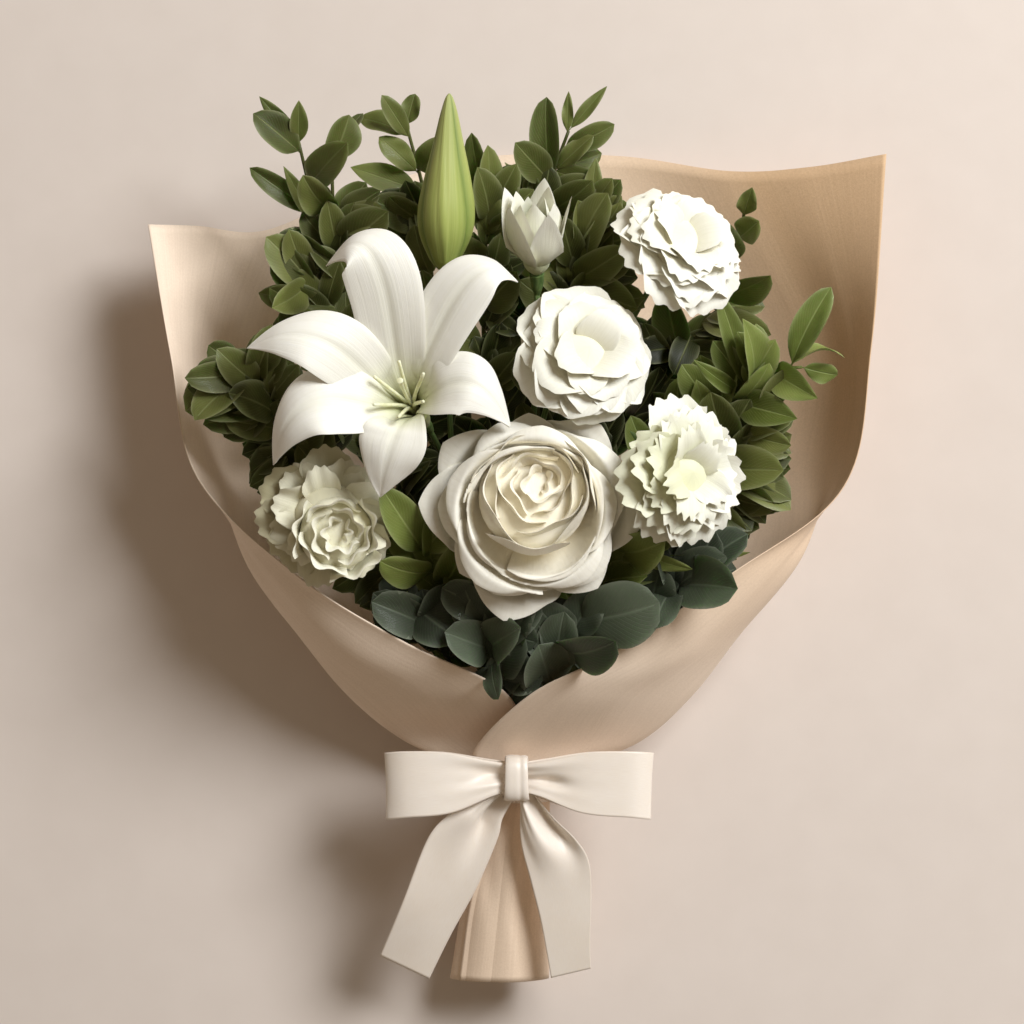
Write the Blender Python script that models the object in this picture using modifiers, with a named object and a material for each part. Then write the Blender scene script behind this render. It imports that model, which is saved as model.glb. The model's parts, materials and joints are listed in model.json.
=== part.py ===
# Hand-tied bouquet of white flowers in a kraft paper wrap, lying on its back.
# Lengths in this file are millimetres; every mesh is scaled to metres at the end.
# X runs to the right, Y towards the flower tips, Z up from the surface it lies on.

import math
import random

import bmesh
import bpy
import numpy as np
from mathutils import Matrix, Vector
from mathutils.bvhtree import BVHTree

# Scale and fits
METRES_PER_UNIT = 0.001
NODE_GAP = 0.35
SEED = 41
UNION_FLAT_ANGLE = math.radians(3.0)
SHEET_FLAT_ANGLE = math.radians(0.2)

# Wrap
PAPER_THICKNESS = 1.0
PAPER_FLOOR = 0.5 * PAPER_THICKNESS
PAPER_COLUMNS_PER_GUIDE = 3
PAPER_ROWS_PER_STATION = (1, 1, 1, 2, 2, 1, 1, 2, 1, 2)
NECK_CENTRE = Vector((2.0, -138.0, 34.0))
NECK_RADIUS = 17.6
OVERLAP_GROWTH = 2.4

# Stems
SLOT_SPACING = 4.45
SEPAL_ROWS = 2
SEPAL_COUNT = 4
CALYX_DEPTH = 12.0
CALYX_NECK = 1.6
TIE_RADIUS = 15.2
TIE_SIDES = 16
TWINE_RADIUS = 0.8
TWINE_SIDES = 5
BUD_FORK = 0.72
BUD_STALK_SAG = 5.0
BUD_COLLAR = 8.0
STEM_CUT_END = -214.0
STEM_POINTS = 7
RELAX_STEPS = 300
RELAX_SAMPLES = 3
RELAX_PUSH = 0.4
ROD_CLEARANCE = 0.6
RELAX_SMOOTHING = 0.06

# Blades
OUTER_WHORL = 35.0
LEAF_HALF_THICKNESS = 0.5
PETAL_HALF_THICKNESS = 0.5
TEPAL_HALF_THICKNESS = 0.6
SHARP_ANGLE = math.radians(40.0)

# Ribbon
RIBBON_THICKNESS = 0.9
RIBBON_WIDTH = 37.0

# Colours, linear RGB
KRAFT = (0.62, 0.44, 0.31)
RIBBON_CREAM = (0.76, 0.66, 0.55)
TWINE = (0.50, 0.36, 0.20)
PETAL_WHITE = (0.86, 0.84, 0.76)
PETAL_IVORY = (0.84, 0.79, 0.60)
FILAMENT_GREEN = (0.66, 0.68, 0.35)
BUD_GREEN = (0.38, 0.50, 0.16)
STEM_GREEN = (0.14, 0.22, 0.07)
RUSCUS_GREEN = (0.06, 0.11, 0.035)
SAGE_GREEN = (0.10, 0.15, 0.12)
FRESH_GREEN = (0.16, 0.27, 0.06)


def clear_scene():
    """Remove the objects of the startup scene."""
    for obj in list(bpy.data.objects):
        bpy.data.objects.remove(obj, do_unlink=True)


def make_collection():
    """The collection that holds every sub-part."""
    collection = bpy.data.collections.new("flower_bouquet")
    bpy.context.scene.collection.children.link(collection)
    return collection


def material(name, colour, roughness):
    """A plain coloured finish."""
    finish = bpy.data.materials.get(name) or bpy.data.materials.new(name)
    finish.use_nodes = True
    shader = finish.node_tree.nodes["Principled BSDF"]
    shader.inputs["Base Color"].default_value = (*colour, 1.0)
    shader.inputs["Roughness"].default_value = roughness
    shader.inputs["Metallic"].default_value = 0.0
    return finish


# Curves

def spline(points, t):
    """Point at t from 0 to 1 on a smooth curve through the points."""
    last = len(points) - 1
    place = min(max(t, 0.0), 1.0) * last
    i = min(int(place), last - 1)
    f = place - i
    p1, p2 = points[i], points[i + 1]
    p0 = points[i - 1] if i > 0 else p1 * 2 - p2
    p3 = points[i + 2] if i + 2 <= last else p2 * 2 - p1
    return 0.5 * (p1 * 2 + (p2 - p0) * f + (p0 * 2 - p1 * 5 + p2 * 4 - p3) * f * f
                  + (p1 * 3 - p0 - p2 * 3 + p3) * f * f * f)


def nearest_on(points, target):
    """Point of a polyline that is nearest to the target."""
    best = None
    for a, b in zip(points[:-1], points[1:]):
        edge = b - a
        along = max(0.0, min(1.0, (target - a).dot(edge) / edge.length_squared))
        point = a + edge * along
        if best is None or (point - target).length < (best - target).length:
            best = point
    return best


# Meshes

def lens(surface, rows, columns, half, pointed=True):
    """A blade whose upper and lower faces meet at its rim.

    surface(s, u) gives its middle, with s from 0 at the root to 1 at the tip
    and u from -1 to 1 across."""
    bm = bmesh.new()
    upper, lower = [], []
    for i in range(rows + 1):
        s = i / rows
        if pointed and i == rows:
            tip = bm.verts.new(surface(1.0, 0.0))
            upper.append([tip] * (columns + 1))
            lower.append([tip] * (columns + 1))
            continue
        row_up, row_low = [], []
        for j in range(columns + 1):
            u = 2.0 * j / columns - 1.0
            middle = surface(s, u)
            on_rim = j in (0, columns) or i == rows
            if on_rim:
                vert = bm.verts.new(middle)
                row_up.append(vert)
                row_low.append(vert)
                continue
            step = 0.02
            near_s = min(s, 1.0 - step)
            along = surface(near_s + step, u) - surface(near_s, u)
            across = surface(s, u + step) - surface(s, u - step)
            normal = across.cross(along).normalized() * half * (1.0 - 0.6 * u * u)
            row_up.append(bm.verts.new(middle + normal))
            row_low.append(bm.verts.new(middle - normal))
        upper.append(row_up)
        lower.append(row_low)
    for rows_of, flip in ((upper, False), (lower, True)):
        for i in range(rows):
            for j in range(columns):
                quad = (rows_of[i][j], rows_of[i][j + 1],
                        rows_of[i + 1][j + 1], rows_of[i + 1][j])
                at_rim = not pointed and i == rows - 1
                split_face(bm, quad, flip, (j * 2 < columns) != at_rim)
    for j in range(columns):
        quad = (upper[0][j], lower[0][j], lower[0][j + 1], upper[0][j + 1])
        split_face(bm, quad, False, True)
    bmesh.ops.recalc_face_normals(bm, faces=bm.faces)
    return bm


def split_face(bm, quad, flip, first_diagonal):
    """Add a quad as triangles, leaving out those that close to a line."""
    a, b, c, d = quad
    halves = ((a, b, c), (a, c, d)) if first_diagonal else ((a, b, d), (b, c, d))
    for corners in halves:
        if len(set(corners)) == 3:
            order = corners[::-1] if flip else corners
            bm.faces.new(order)


def sheet(point, rows, columns, thickness):
    """A thin sheet of even thickness; point(i, j) gives its middle."""
    bm = bmesh.new()
    grid = [[bm.verts.new(point(i, j)) for j in range(columns + 1)] for i in range(rows + 1)]
    for i in range(rows):
        for j in range(columns):
            a, b, c, d = grid[i][j], grid[i][j + 1], grid[i + 1][j + 1], grid[i + 1][j]
            shorter = (a.co - c.co).length <= (b.co - d.co).length
            split_face(bm, (a, b, c, d), False, shorter)
    mesh = bpy.data.meshes.new("sheet")
    bm.to_mesh(mesh)
    bm.free()
    obj = bpy.data.objects.new("sheet", mesh)
    bpy.context.scene.collection.objects.link(obj)
    solid = obj.modifiers.new("thickness", "SOLIDIFY")
    solid.thickness = thickness
    solid.offset = 0.0
    solid.use_even_offset = False
    return take_mesh(obj)


def take_mesh(obj):
    """The evaluated mesh of an object, as a bmesh; the object is removed."""
    depsgraph = bpy.context.evaluated_depsgraph_get()
    mesh = bpy.data.meshes.new_from_object(obj.evaluated_get(depsgraph))
    bm = bmesh.new()
    bm.from_mesh(mesh)
    bmesh.ops.remove_doubles(bm, verts=bm.verts, dist=0.001)
    bmesh.ops.triangulate(bm, faces=bm.faces)
    bmesh.ops.recalc_face_normals(bm, faces=bm.faces)
    data = obj.data
    bpy.data.objects.remove(obj, do_unlink=True)
    if isinstance(data, bpy.types.Mesh):
        bpy.data.meshes.remove(data)
    else:
        bpy.data.curves.remove(data)
    bpy.data.meshes.remove(mesh)
    return bm


def tube(points, radii, resolution=1):
    """A round rod along the points, with closed ends."""
    curve = bpy.data.curves.new("rod", "CURVE")
    curve.dimensions = "3D"
    curve.bevel_depth = 1.0
    curve.bevel_resolution = resolution
    curve.use_fill_caps = True
    line = curve.splines.new("POLY")
    line.points.add(len(points) - 1)
    for target, point, radius in zip(line.points, points, radii):
        target.co = (*point, 1.0)
        target.radius = radius
    obj = bpy.data.objects.new("rod", curve)
    bpy.context.scene.collection.objects.link(obj)
    return take_mesh(obj)


def turned(profile, sides, frame):
    """A solid turned from (radius, height) pairs; the end radii may be zero."""
    bm = bmesh.new()
    rings = []
    for radius, height in profile:
        if radius < 1e-6:
            rings.append([bm.verts.new(frame @ Vector((0.0, 0.0, height)))])
            continue
        ring = []
        for k in range(sides):
            turn = 2.0 * math.pi * k / sides
            ring.append(bm.verts.new(frame @ Vector((radius * math.cos(turn),
                                                     radius * math.sin(turn), height))))
        rings.append(ring)
    for low, high in zip(rings[:-1], rings[1:]):
        for k in range(sides):
            n = (k + 1) % sides
            if len(low) == 1:
                bm.faces.new((low[0], high[n], high[k]))
            elif len(high) == 1:
                bm.faces.new((low[k], low[n], high[0]))
            else:
                split_face(bm, (low[k], low[n], high[n], high[k]), False, True)
    for ring in (rings[0], rings[-1]):
        if len(ring) > 1:
            bm.faces.new(ring)
    bmesh.ops.recalc_face_normals(bm, faces=bm.faces)
    return bm


def bvh(bm):
    """Search tree of a piece."""
    return BVHTree.FromBMesh(bm, epsilon=0.0)


def fuse(name, pieces, finish, collection):
    """Join overlapping pieces into one solid and add it to the model."""
    objects = []
    for number, bm in enumerate(pieces):
        mesh = bpy.data.meshes.new(f"{name}_{number}")
        bm.to_mesh(mesh)
        bm.free()
        objects.append(bpy.data.objects.new(f"{name}_{number}", mesh))
    base = objects[0]
    bpy.context.scene.collection.objects.link(base)
    if len(objects) > 1:
        group = bpy.data.collections.new(f"{name}_pieces")
        bpy.context.scene.collection.children.link(group)
        for obj in objects[1:]:
            group.objects.link(obj)
        union = base.modifiers.new("union", "BOOLEAN")
        union.operation = "UNION"
        union.operand_type = "COLLECTION"
        union.collection = group
        union.solver = "MANIFOLD"
        bm = take_mesh(base)
        for obj in objects[1:]:
            data = obj.data
            bpy.data.objects.remove(obj, do_unlink=True)
            bpy.data.meshes.remove(data)
        bpy.data.collections.remove(group)
    else:
        bm = take_mesh(base)
    keep_main_shell(bm)
    bm = thin_out(bm, UNION_FLAT_ANGLE if len(pieces) > 1 else SHEET_FLAT_ANGLE)
    tree = bvh(bm)
    bmesh.ops.scale(bm, vec=(METRES_PER_UNIT,) * 3, verts=bm.verts)
    mesh = bpy.data.meshes.new(name)
    bm.to_mesh(mesh)
    bm.free()
    mesh.shade_smooth()
    mesh.set_sharp_from_angle(angle=SHARP_ANGLE)
    mesh.materials.append(finish)
    obj = bpy.data.objects.new(name, mesh)
    collection.objects.link(obj)
    return tree


def thin_out(bm, flat_angle):
    """Merge faces that lie flat beside each other; the shape stays the same."""
    thin = bm.copy()
    bmesh.ops.dissolve_limit(thin, angle_limit=flat_angle, use_dissolve_boundaries=False,
                             verts=thin.verts, edges=thin.edges)
    bmesh.ops.triangulate(thin, faces=thin.faces)
    if all(edge.is_manifold for edge in thin.edges):
        bm.free()
        return thin
    thin.free()
    return bm


def keep_main_shell(bm):
    """Drop loose scraps and fill sealed hollows: the largest shell stays."""
    bm.faces.ensure_lookup_table()
    unseen = set(bm.faces)
    shells = []
    while unseen:
        stack = [unseen.pop()]
        shell = list(stack)
        while stack:
            face = stack.pop()
            for edge in face.edges:
                for other in edge.link_faces:
                    if other in unseen:
                        unseen.remove(other)
                        stack.append(other)
                        shell.append(other)
        shells.append(shell)
    shells.sort(key=len)
    for shell in shells[:-1]:
        bmesh.ops.delete(bm, geom=shell, context="FACES")


# Blade surfaces

def beta_outline(rise, fall):
    """Half-width from 0 to 1 and back, widest nearer the root when rise is small."""
    peak = rise / (rise + fall)
    top = peak ** rise * (1.0 - peak) ** fall

    def half_width(x):
        x = min(max(x, 0.0), 1.0)
        return x ** rise * (1.0 - x) ** fall / top
    return half_width


OUTLINES = {
    "ovate": beta_outline(0.60, 0.85),
    "lance": beta_outline(0.75, 0.95),
    "round": beta_outline(0.45, 0.50),
    "strap": beta_outline(0.30, 0.55),
    "sepal": beta_outline(0.35, 1.00),
}


def leaf_surface(root, tip, width, outline="ovate", face=(0.0, 0.0, 1.0), bend=0.5,
                 fold=0.25, wave=0.0, twist=0.0, petiole=0.10, stalk=0.06):
    """Middle surface of a leaf that arches from its root to its tip."""
    chord = tip - root
    span = chord.length
    ahead = chord / span
    face = Vector(face)
    normal = (face - ahead * face.dot(ahead)).normalized()
    side = ahead.cross(normal)
    turn = bend if abs(bend) > 0.02 else 0.02
    arc = span * 0.5 * turn / math.sin(0.5 * turn)
    shape = OUTLINES[outline]

    def surface(s, u):
        angle = turn * (0.5 - s)
        along = arc / turn * (math.sin(0.5 * turn) - math.sin(angle))
        rise = arc / turn * (math.cos(angle) - math.cos(0.5 * turn))
        up = normal * math.cos(angle) - ahead * math.sin(angle)
        lean = twist * s
        across = side * math.cos(lean) + up * math.sin(lean)
        over = up * math.cos(lean) - side * math.sin(lean)
        blade = shape((s - petiole) / (1.0 - petiole)) if s > petiole else 0.0
        half = 0.5 * width * (stalk * (1.0 - s) + (1.0 - stalk) * blade)
        ripple = wave * math.sin(6.5 * s + 2.0 * u) * abs(u) * blade
        return (root + ahead * along + normal * rise + across * (u * half * math.cos(fold))
                + over * (abs(u) * half * math.sin(fold) + ripple))
    return surface


def strip_surface(points, side, widths, fold=0.0, curl=0.0, wave=0.0):
    """Middle surface of a blade along a curve; widths are halves, root to tip."""
    side = Vector(side).normalized()

    def surface(s, u):
        step = 0.01
        low, high = max(s - step, 0.0), min(s + step, 1.0)
        ahead = (spline(points, high) - spline(points, low)).normalized()
        across = (side - ahead * side.dot(ahead)).normalized()
        up = across.cross(ahead)
        half = spline_value(widths, s)
        lift = half * (abs(u) * fold + u * u * curl) + wave * math.sin(9.0 * s + 2.0 * u) * u * u
        return spline(points, s) + across * (u * half) + up * lift
    return surface


def spline_value(values, t):
    """Number at t from 0 to 1 on a smooth curve through the values."""
    return max(spline([Vector((v, 0.0, 0.0)) for v in values], t).x, 0.0)


def frame_at(place, axis, spin=0.0):
    """Axes with Z along the given direction, standing at the place."""
    up = Vector(axis).normalized()
    right = Vector((1.0, 0.0, 0.0))
    right = (right - up * right.dot(up)).normalized()
    ahead = up.cross(right)
    turn = Matrix((right, ahead, up)).transposed().to_4x4()
    return Matrix.Translation(place) @ turn @ Matrix.Rotation(spin, 4, "Z")


def petal_surface(frame, angle, span, profile, skew=0.0, rounding=0.25, frill=0.0,
                  teeth=0.0, folds=3.0, tip=0.0, phase=0.0):
    """Middle surface of a petal that stands round a bloom's axis.

    profile is a list of (radius, height) from root to rim; span is half the
    angle it covers, and one side stands further out than the other by skew."""
    line = [Vector((r, 0.0, h)) for r, h in profile]

    def surface(s, u):
        reach = s * (1.0 - rounding * u * u + teeth * s * math.cos(folds * 2.0 * math.pi * u)
                     + tip * s * (1.0 - abs(u)) ** 2)
        here = spline_open(line, reach)
        ahead = (spline_open(line, reach + 0.02) - here).normalized()
        out = Vector((ahead.z, 0.0, -ahead.x))
        push = skew * u * s + frill * s * s * math.sin(folds * math.pi * u + phase)
        point = here + out * push
        turn = angle + span * u
        radius = max(point.x, 0.3)
        return frame @ Vector((radius * math.cos(turn), radius * math.sin(turn), point.z))
    return surface


def spline_open(points, t):
    """Like spline, but straight on past the end."""
    if t <= 1.0:
        return spline(points, t)
    step = 0.02
    end = spline(points, 1.0)
    return end + (end - spline(points, 1.0 - step)) * ((t - 1.0) / step)


# The paper wrap

def ring_station(centre, across, high):
    """Guide points of the wrap where it is rolled into a tube, edges lapped."""
    points = []
    angles = (55.0, 112.0, 168.0, 222.0, 270.0, 318.0, 372.0, 424.0, 478.0)
    for place, degrees in enumerate(angles):
        turn = math.radians(degrees)
        grow = OVERLAP_GROWTH * place / (len(angles) - 1)
        points.append(centre + Vector(((across + grow) * math.cos(turn), 0.0,
                                       (high + grow) * math.sin(turn))))
    return points


def station(*corners):
    """Guide points of the wrap, left free edge to right free edge."""
    return [Vector(corner) for corner in corners]


def wrap_stations():
    """Sections of the sheet from the cut end of the skirt to its far edge.

    Each runs left free edge, left flap, left side, left floor, floor, right
    floor, right side, right flap, right free edge."""
    return [
        ring_station(Vector((-7.5, -247.0, 27.0)), 27.5, 17.0),
        ring_station(Vector((-3.0, -196.0, 32.0)), 23.5, 19.0),
        ring_station(NECK_CENTRE + Vector((0.0, -9.0, 0.0)), NECK_RADIUS, NECK_RADIUS),
        ring_station(NECK_CENTRE + Vector((0.0, 7.0, 0.5)), NECK_RADIUS, NECK_RADIUS),
        station((8, -108, 51), (-34, -110, 49), (-61, -111, 35), (-38, -106, 19), (2, -106, 13),
                (44, -106, 19), (71, -112, 36), (44, -112, 57), (-22, -116, 63)),
        station((-6, -78, 91), (-60, -80, 79), (-94, -83, 47), (-60, -78, 16), (2, -76, 8),
                (66, -78, 16), (102, -84, 47), (64, -82, 83), (10, -81, 96)),
        station((-60, -51, 104), (-98, -55, 87), (-119, -50, 51), (-78, -44, 12), (0, -42, 3),
                (84, -44, 12), (128, -48, 53), (102, -56, 88), (56, -57, 104)),
        station((-118, -15, 104), (-139, -11, 85), (-147, -6, 57), (-100, 2, 7), (0, 6, -2),
                (108, 2, 7), (160, -3, 60), (150, -9, 86), (119, -15, 104)),
        station((-174, 38, 82), (-170, 40, 62), (-156, 44, 34), (-108, 50, 4), (0, 54, -1.5),
                (112, 50, 4), (167, 44, 36), (181, 37, 62), (183, 33, 86)),
        station((-190, 106, 71), (-182, 108, 50), (-163, 112, 28), (-110, 116, 3), (0, 120, -1),
                (114, 116, 3), (172, 112, 32), (191, 111, 57), (199, 110, 79)),
        station((-204, 180, 60), (-178, 181, 42), (-142, 180, 25), (-92, 202, 10),
                (-20, 224, 5), (60, 225, 7), (124, 214, 26), (168, 214, 45), (209, 219, 65)),
    ]


def wrap_rows():
    """Places along the wrap where it has a row of vertices, 0 to 1."""
    spans = len(PAPER_ROWS_PER_STATION)
    places = []
    for number, rows in enumerate(PAPER_ROWS_PER_STATION):
        places += [(number + k / rows) / spans for k in range(rows)]
    return places + [1.0]


def wrap_point(stations, along, around):
    """Point of the wrap's middle surface."""
    line = [spline(guides, around) for guides in stations]
    point = spline(line, along)
    point.z = max(point.z, PAPER_FLOOR)
    return point


def build_paper(collection):
    """One sheet of kraft paper, rolled into a cone and pinched at the neck."""
    stations = wrap_stations()
    places = wrap_rows()
    columns = 8 * PAPER_COLUMNS_PER_GUIDE

    def point(i, j):
        return wrap_point(stations, places[i], j / columns)
    paper = sheet(point, len(places) - 1, columns, PAPER_THICKNESS)
    finish = material("kraft_paper", KRAFT, 0.85)
    return fuse("kraft_paper", [paper], finish, collection)


# The ribbon bow

def ribbon_strip(points, side, widths, rows, columns=3, pleat=0.0):
    """A length of ribbon along a curve; widths are halves."""
    surface = strip_surface(points, side, widths)

    def point(i, j):
        s = i / rows
        u = 2.0 * j / columns - 1.0
        step = 0.01
        ahead = surface(min(s + step, 1.0), u) - surface(max(s - step, 0.0), u)
        up = (surface(s, u + step) - surface(s, u - step)).cross(ahead).normalized()
        gather = pleat * (1.0 - spline_value(widths, s) / max(widths))
        return surface(s, u) + up * gather * (-1.0) ** j
    return sheet(point, rows, columns, RIBBON_THICKNESS)


def build_ribbon(collection):
    """Neck band, knot, two loops and two tails, tied as one bow."""
    half = 0.5 * RIBBON_WIDTH
    knot = Vector((2.5, -129.0, 68.0))
    band_radius = NECK_RADIUS + OVERLAP_GROWTH + 0.5 * PAPER_THICKNESS + 0.9
    band_points = []
    for k in range(16):
        turn = 2.0 * math.pi * k / 16.0
        band_points.append(NECK_CENTRE + Vector((band_radius * math.sin(turn), -1.0,
                                                 band_radius * math.cos(turn) + 0.3)))
    across = Vector((0.0, 1.0, 0.0))
    band = closed_band(band_points, across, 5.5)

    foot = NECK_CENTRE + Vector((0.5, 0.5, band_radius + 0.3))
    post = turned(((5.0, 0.0), (5.4, 11.0)), 6, frame_at(foot, (0.0, 0.0, 1.0)))
    knot_points = []
    for k in range(10):
        turn = 2.0 * math.pi * k / 10.0
        knot_points.append(knot + Vector((0.0, 13.0 * math.cos(turn), 3.0 + 9.5 * math.sin(turn))))
    wrap = knot_block(knot_points)

    left = [(2, 0, 0), (-14, 1, 8), (-38, -2, 12), (-62, -3, 11), (-72.5, -4, 4),
            (-62, -4, -3), (-38, -3, -4), (-14, -1, -3), (3, 0, 1)]
    right = [(-2, 0, 0), (14, 1, 8), (38, -2, 12), (64, -3, 11), (75, -4, 4),
             (64, -4, -3), (38, -3, -4), (14, -1, -3), (-3, 0, 1)]
    loop_widths = [8.5, 11.5, 17.5, half, half, half, 17.5, 12.0, 8.5]
    loops = []
    for route in (left, right):
        points = [knot + Vector(offset) for offset in route]
        loops.append(ribbon_strip(points, across, loop_widths, 10, 3))

    left_tail = [(0, -2, -1), (-7, -14, 1), (-18, -38, -4), (-35, -68, -13), (-52, -96, -25),
                 (-64, -113, -34)]
    right_tail = [(1, -2, -1), (7, -14, 1), (19, -38, -3), (28, -64, -9), (31, -90, -16),
                  (31, -115, -22)]
    tails = []
    sides = (Vector((0.86, -0.50, 0.10)), Vector((0.98, 0.14, -0.12)))
    width_sets = ([7.5, 9.5, 15.5, 18.0, 17.0, 15.5], [7.5, 9.5, 15.0, 15.5, 13.0, 12.5])
    for route, side, widths in zip((left_tail, right_tail), sides, width_sets):
        points = [knot + Vector(offset) for offset in route]
        tails.append(ribbon_strip(points, side, widths, 6, 3))
    finish = material("cream_ribbon", RIBBON_CREAM, 0.5)
    return fuse("ribbon_bow", [post, band, wrap] + loops + tails, finish, collection)


def closed_band(points, across, half):
    """A flat ring of ribbon through the points."""
    bm = bmesh.new()
    rings = []
    count = len(points)
    centre = sum(points, Vector()) / count
    for point in points:
        out = (point - centre).normalized() * 0.5 * RIBBON_THICKNESS
        rings.append([bm.verts.new(point + across * half * a + out * b)
                      for a, b in ((-1, -1), (1, -1), (1, 1), (-1, 1))])
    for k in range(count):
        low, high = rings[k], rings[(k + 1) % count]
        for c in range(4):
            n = (c + 1) % 4
            split_face(bm, (low[c], low[n], high[n], high[c]), False, True)
    bmesh.ops.recalc_face_normals(bm, faces=bm.faces)
    return bm


def knot_block(outline):
    """The short band that wraps the middle of the bow, as a rounded solid."""
    bm = bmesh.new()
    centre = sum(outline, Vector()) / len(outline)
    rings = []
    for offset, shrink in ((-7.4, 0.80), (-5.6, 0.98), (5.6, 0.98), (7.4, 0.80)):
        rings.append([bm.verts.new(centre + (point - centre) * shrink + Vector((offset, 0.0, 0.0)))
                      for point in outline])
    count = len(outline)
    for low, high in zip(rings[:-1], rings[1:]):
        for k in range(count):
            n = (k + 1) % count
            split_face(bm, (low[k], low[n], high[n], high[k]), False, True)
    bm.faces.new(rings[0])
    bm.faces.new(rings[-1])
    bmesh.ops.triangulate(bm, faces=bm.faces)
    bmesh.ops.recalc_face_normals(bm, faces=bm.faces)
    return bm


# Flower heads

def ring_of_petals(pieces, frame, count, start, span, profile, rows=3, columns=4, **shape):
    """Petals set evenly round the axis, each a little different."""
    rng = random.Random(f"{SEED}{count}{start:.3f}{profile[-1]}")
    for k in range(count):
        angle = start + 2.0 * math.pi * k / count + rng.uniform(-0.03, 0.03)
        reach = rng.uniform(0.95, 1.05)
        line = [(r * reach, h) for r, h in profile[:-1]]
        line.append((profile[-1][0] * reach, profile[-1][1] + rng.uniform(-1.5, 1.5)))
        surface = petal_surface(frame, angle, span, line, phase=rng.uniform(0.0, 6.0), **shape)
        pieces.append(lens(surface, rows, columns, PETAL_HALF_THICKNESS, pointed=False))


def build_rose(collection):
    """An open garden rose, its petals in five whorls."""
    frame = frame_at(Vector(ROSE_BASE), ROSE_AXIS)
    core = ((4.0, 0.0), (17.0, 8.0), (23.0, 20.0), (18.0, 33.0), (9.0, 41.0), (0.0, 44.0))
    pieces = [turned(core, 8, frame)]
    ring_of_petals(pieces, frame, 3, 0.3, 1.00, [(3, 37), (9, 44), (8, 54)],
                   rows=2, columns=3, skew=1.6, rounding=0.10)
    ring_of_petals(pieces, frame, 4, 1.0, 0.78, [(9, 34), (16, 42), (16, 54)],
                   rows=2, columns=3, skew=2.2, rounding=0.12)
    ring_of_petals(pieces, frame, 5, 0.2, 0.63, [(17, 26), (25, 35), (27, 51)],
                   rows=2, skew=2.8, rounding=0.16, tip=0.04)
    ring_of_petals(pieces, frame, 5, 0.8, 0.64, [(17, 14), (34, 24), (41, 45)],
                   rows=2, skew=3.4, rounding=0.20, tip=0.06)
    ring_of_petals(pieces, frame, 5, 1.45, 0.64, [(11, 7), (34, 12), (47, 29), (53, 33)],
                   skew=4.0, rounding=0.26, tip=0.12)
    return fuse("rose_bloom", pieces, material("white_petal", PETAL_WHITE, 0.6), collection)


def build_ruffled(name, base, axis, size, spin, whorls, finish, collection):
    """A full double bloom: a core with whorls of toothed petals standing out of it."""
    frame = frame_at(Vector(base), axis, spin) @ Matrix.Scale(size, 4)
    pieces = [turned(((4.0, 0.0), (12.0, 7.0), (19.0, 20.0), (14.0, 32.0), (0.0, 37.0)), 8, frame)]
    for count, start, span, profile, teeth in whorls:
        columns = 4 if profile[-1][0] > OUTER_WHORL else 3
        ring_of_petals(pieces, frame, count, start, span, profile, rows=2, columns=columns,
                       skew=2.0, rounding=0.12, teeth=teeth, folds=1.0, frill=1.6)
    return fuse(name, pieces, finish, collection)


# Whorls of a full bloom, inside to outside: petals, turn of the first one, half the
# angle a petal covers, its line from root to rim as (radius, height), and its teeth.
CARNATION_WHORLS = (
    (3, 0.2, 1.00, [(5, 29), (8, 38), (8, 48)], 0.06),
    (5, 0.6, 0.60, [(13, 23), (19, 31), (20, 44)], 0.07),
    (5, 0.1, 0.60, [(12, 12), (26, 20), (31, 36)], 0.08),
    (6, 0.5, 0.50, [(6, 5), (26, 9), (38, 23)], 0.08),
)
SOFT_WHORLS = (
    (3, 0.0, 1.00, [(5, 29), (9, 38), (10, 47)], 0.02),
    (4, 0.5, 0.75, [(13, 22), (20, 31), (22, 44)], 0.03),
    (5, 0.1, 0.60, [(12, 12), (27, 19), (32, 36)], 0.03),
    (5, 0.6, 0.60, [(6, 5), (28, 8), (38, 25)], 0.03),
)
ROSETTE_WHORLS = (
    (3, 0.0, 1.00, [(5, 28), (8, 34), (9, 41)], 0.02),
    (5, 0.4, 0.60, [(12, 22), (18, 27), (20, 38)], 0.03),
    (5, 0.1, 0.60, [(12, 12), (26, 17), (31, 31)], 0.04),
    (6, 0.5, 0.50, [(6, 5), (27, 8), (39, 21)], 0.05),
)

# Places and directions of the flower heads
ROSE_BASE = (11.5, 23.0, 95.0)
ROSE_AXIS = (0.0, -0.10, 1.0)
LILY_BASE = (-48.0, 68.0, 93.0)
LILY_THROAT = (-57.0, 80.0, 136.0)
RUFFLED = {
    "carnation_upper": ((82.0, 151.0, 112.0), (0.36, 0.40, 0.85), 0.92, 0.3, CARNATION_WHORLS),
    "peony_bloom": ((31.5, 97.5, 118.0), (0.30, 0.26, 0.92), 0.97, 1.1, SOFT_WHORLS),
    "carnation_lower": ((82.0, 41.0, 120.0), (0.42, -0.02, 0.90), 0.97, 0.9, CARNATION_WHORLS),
    "cream_bloom": ((-101.0, 18.0, 97.0), (0.08, -0.08, 1.0), 0.98, 0.5, ROSETTE_WHORLS),
}
ROSEBUD_BASE = (13.5, 149.0, 108.0)
ROSEBUD_AXIS = (-0.02, 0.78, 0.62)
LILY_BUD_BASE = (-36.5, 150.0, 118.0)
LILY_BUD_TIP = (-33.5, 242.0, 140.0)
LILY_TEPALS = (
    ((-74, 160, 163), (-97, 152, 137), 23.0),
    ((-20, 150, 163), (3, 140, 143), 20.0),
    ((-18, 90, 163), (-1, 64, 143), 22.0),
    ((-66, 50, 160), (-70, 27, 144), 19.0),
    ((-114, 80, 161), (-127, 44, 139), 22.0),
    ((-106, 117, 162), (-141, 106, 141), 20.0),
)


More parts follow.
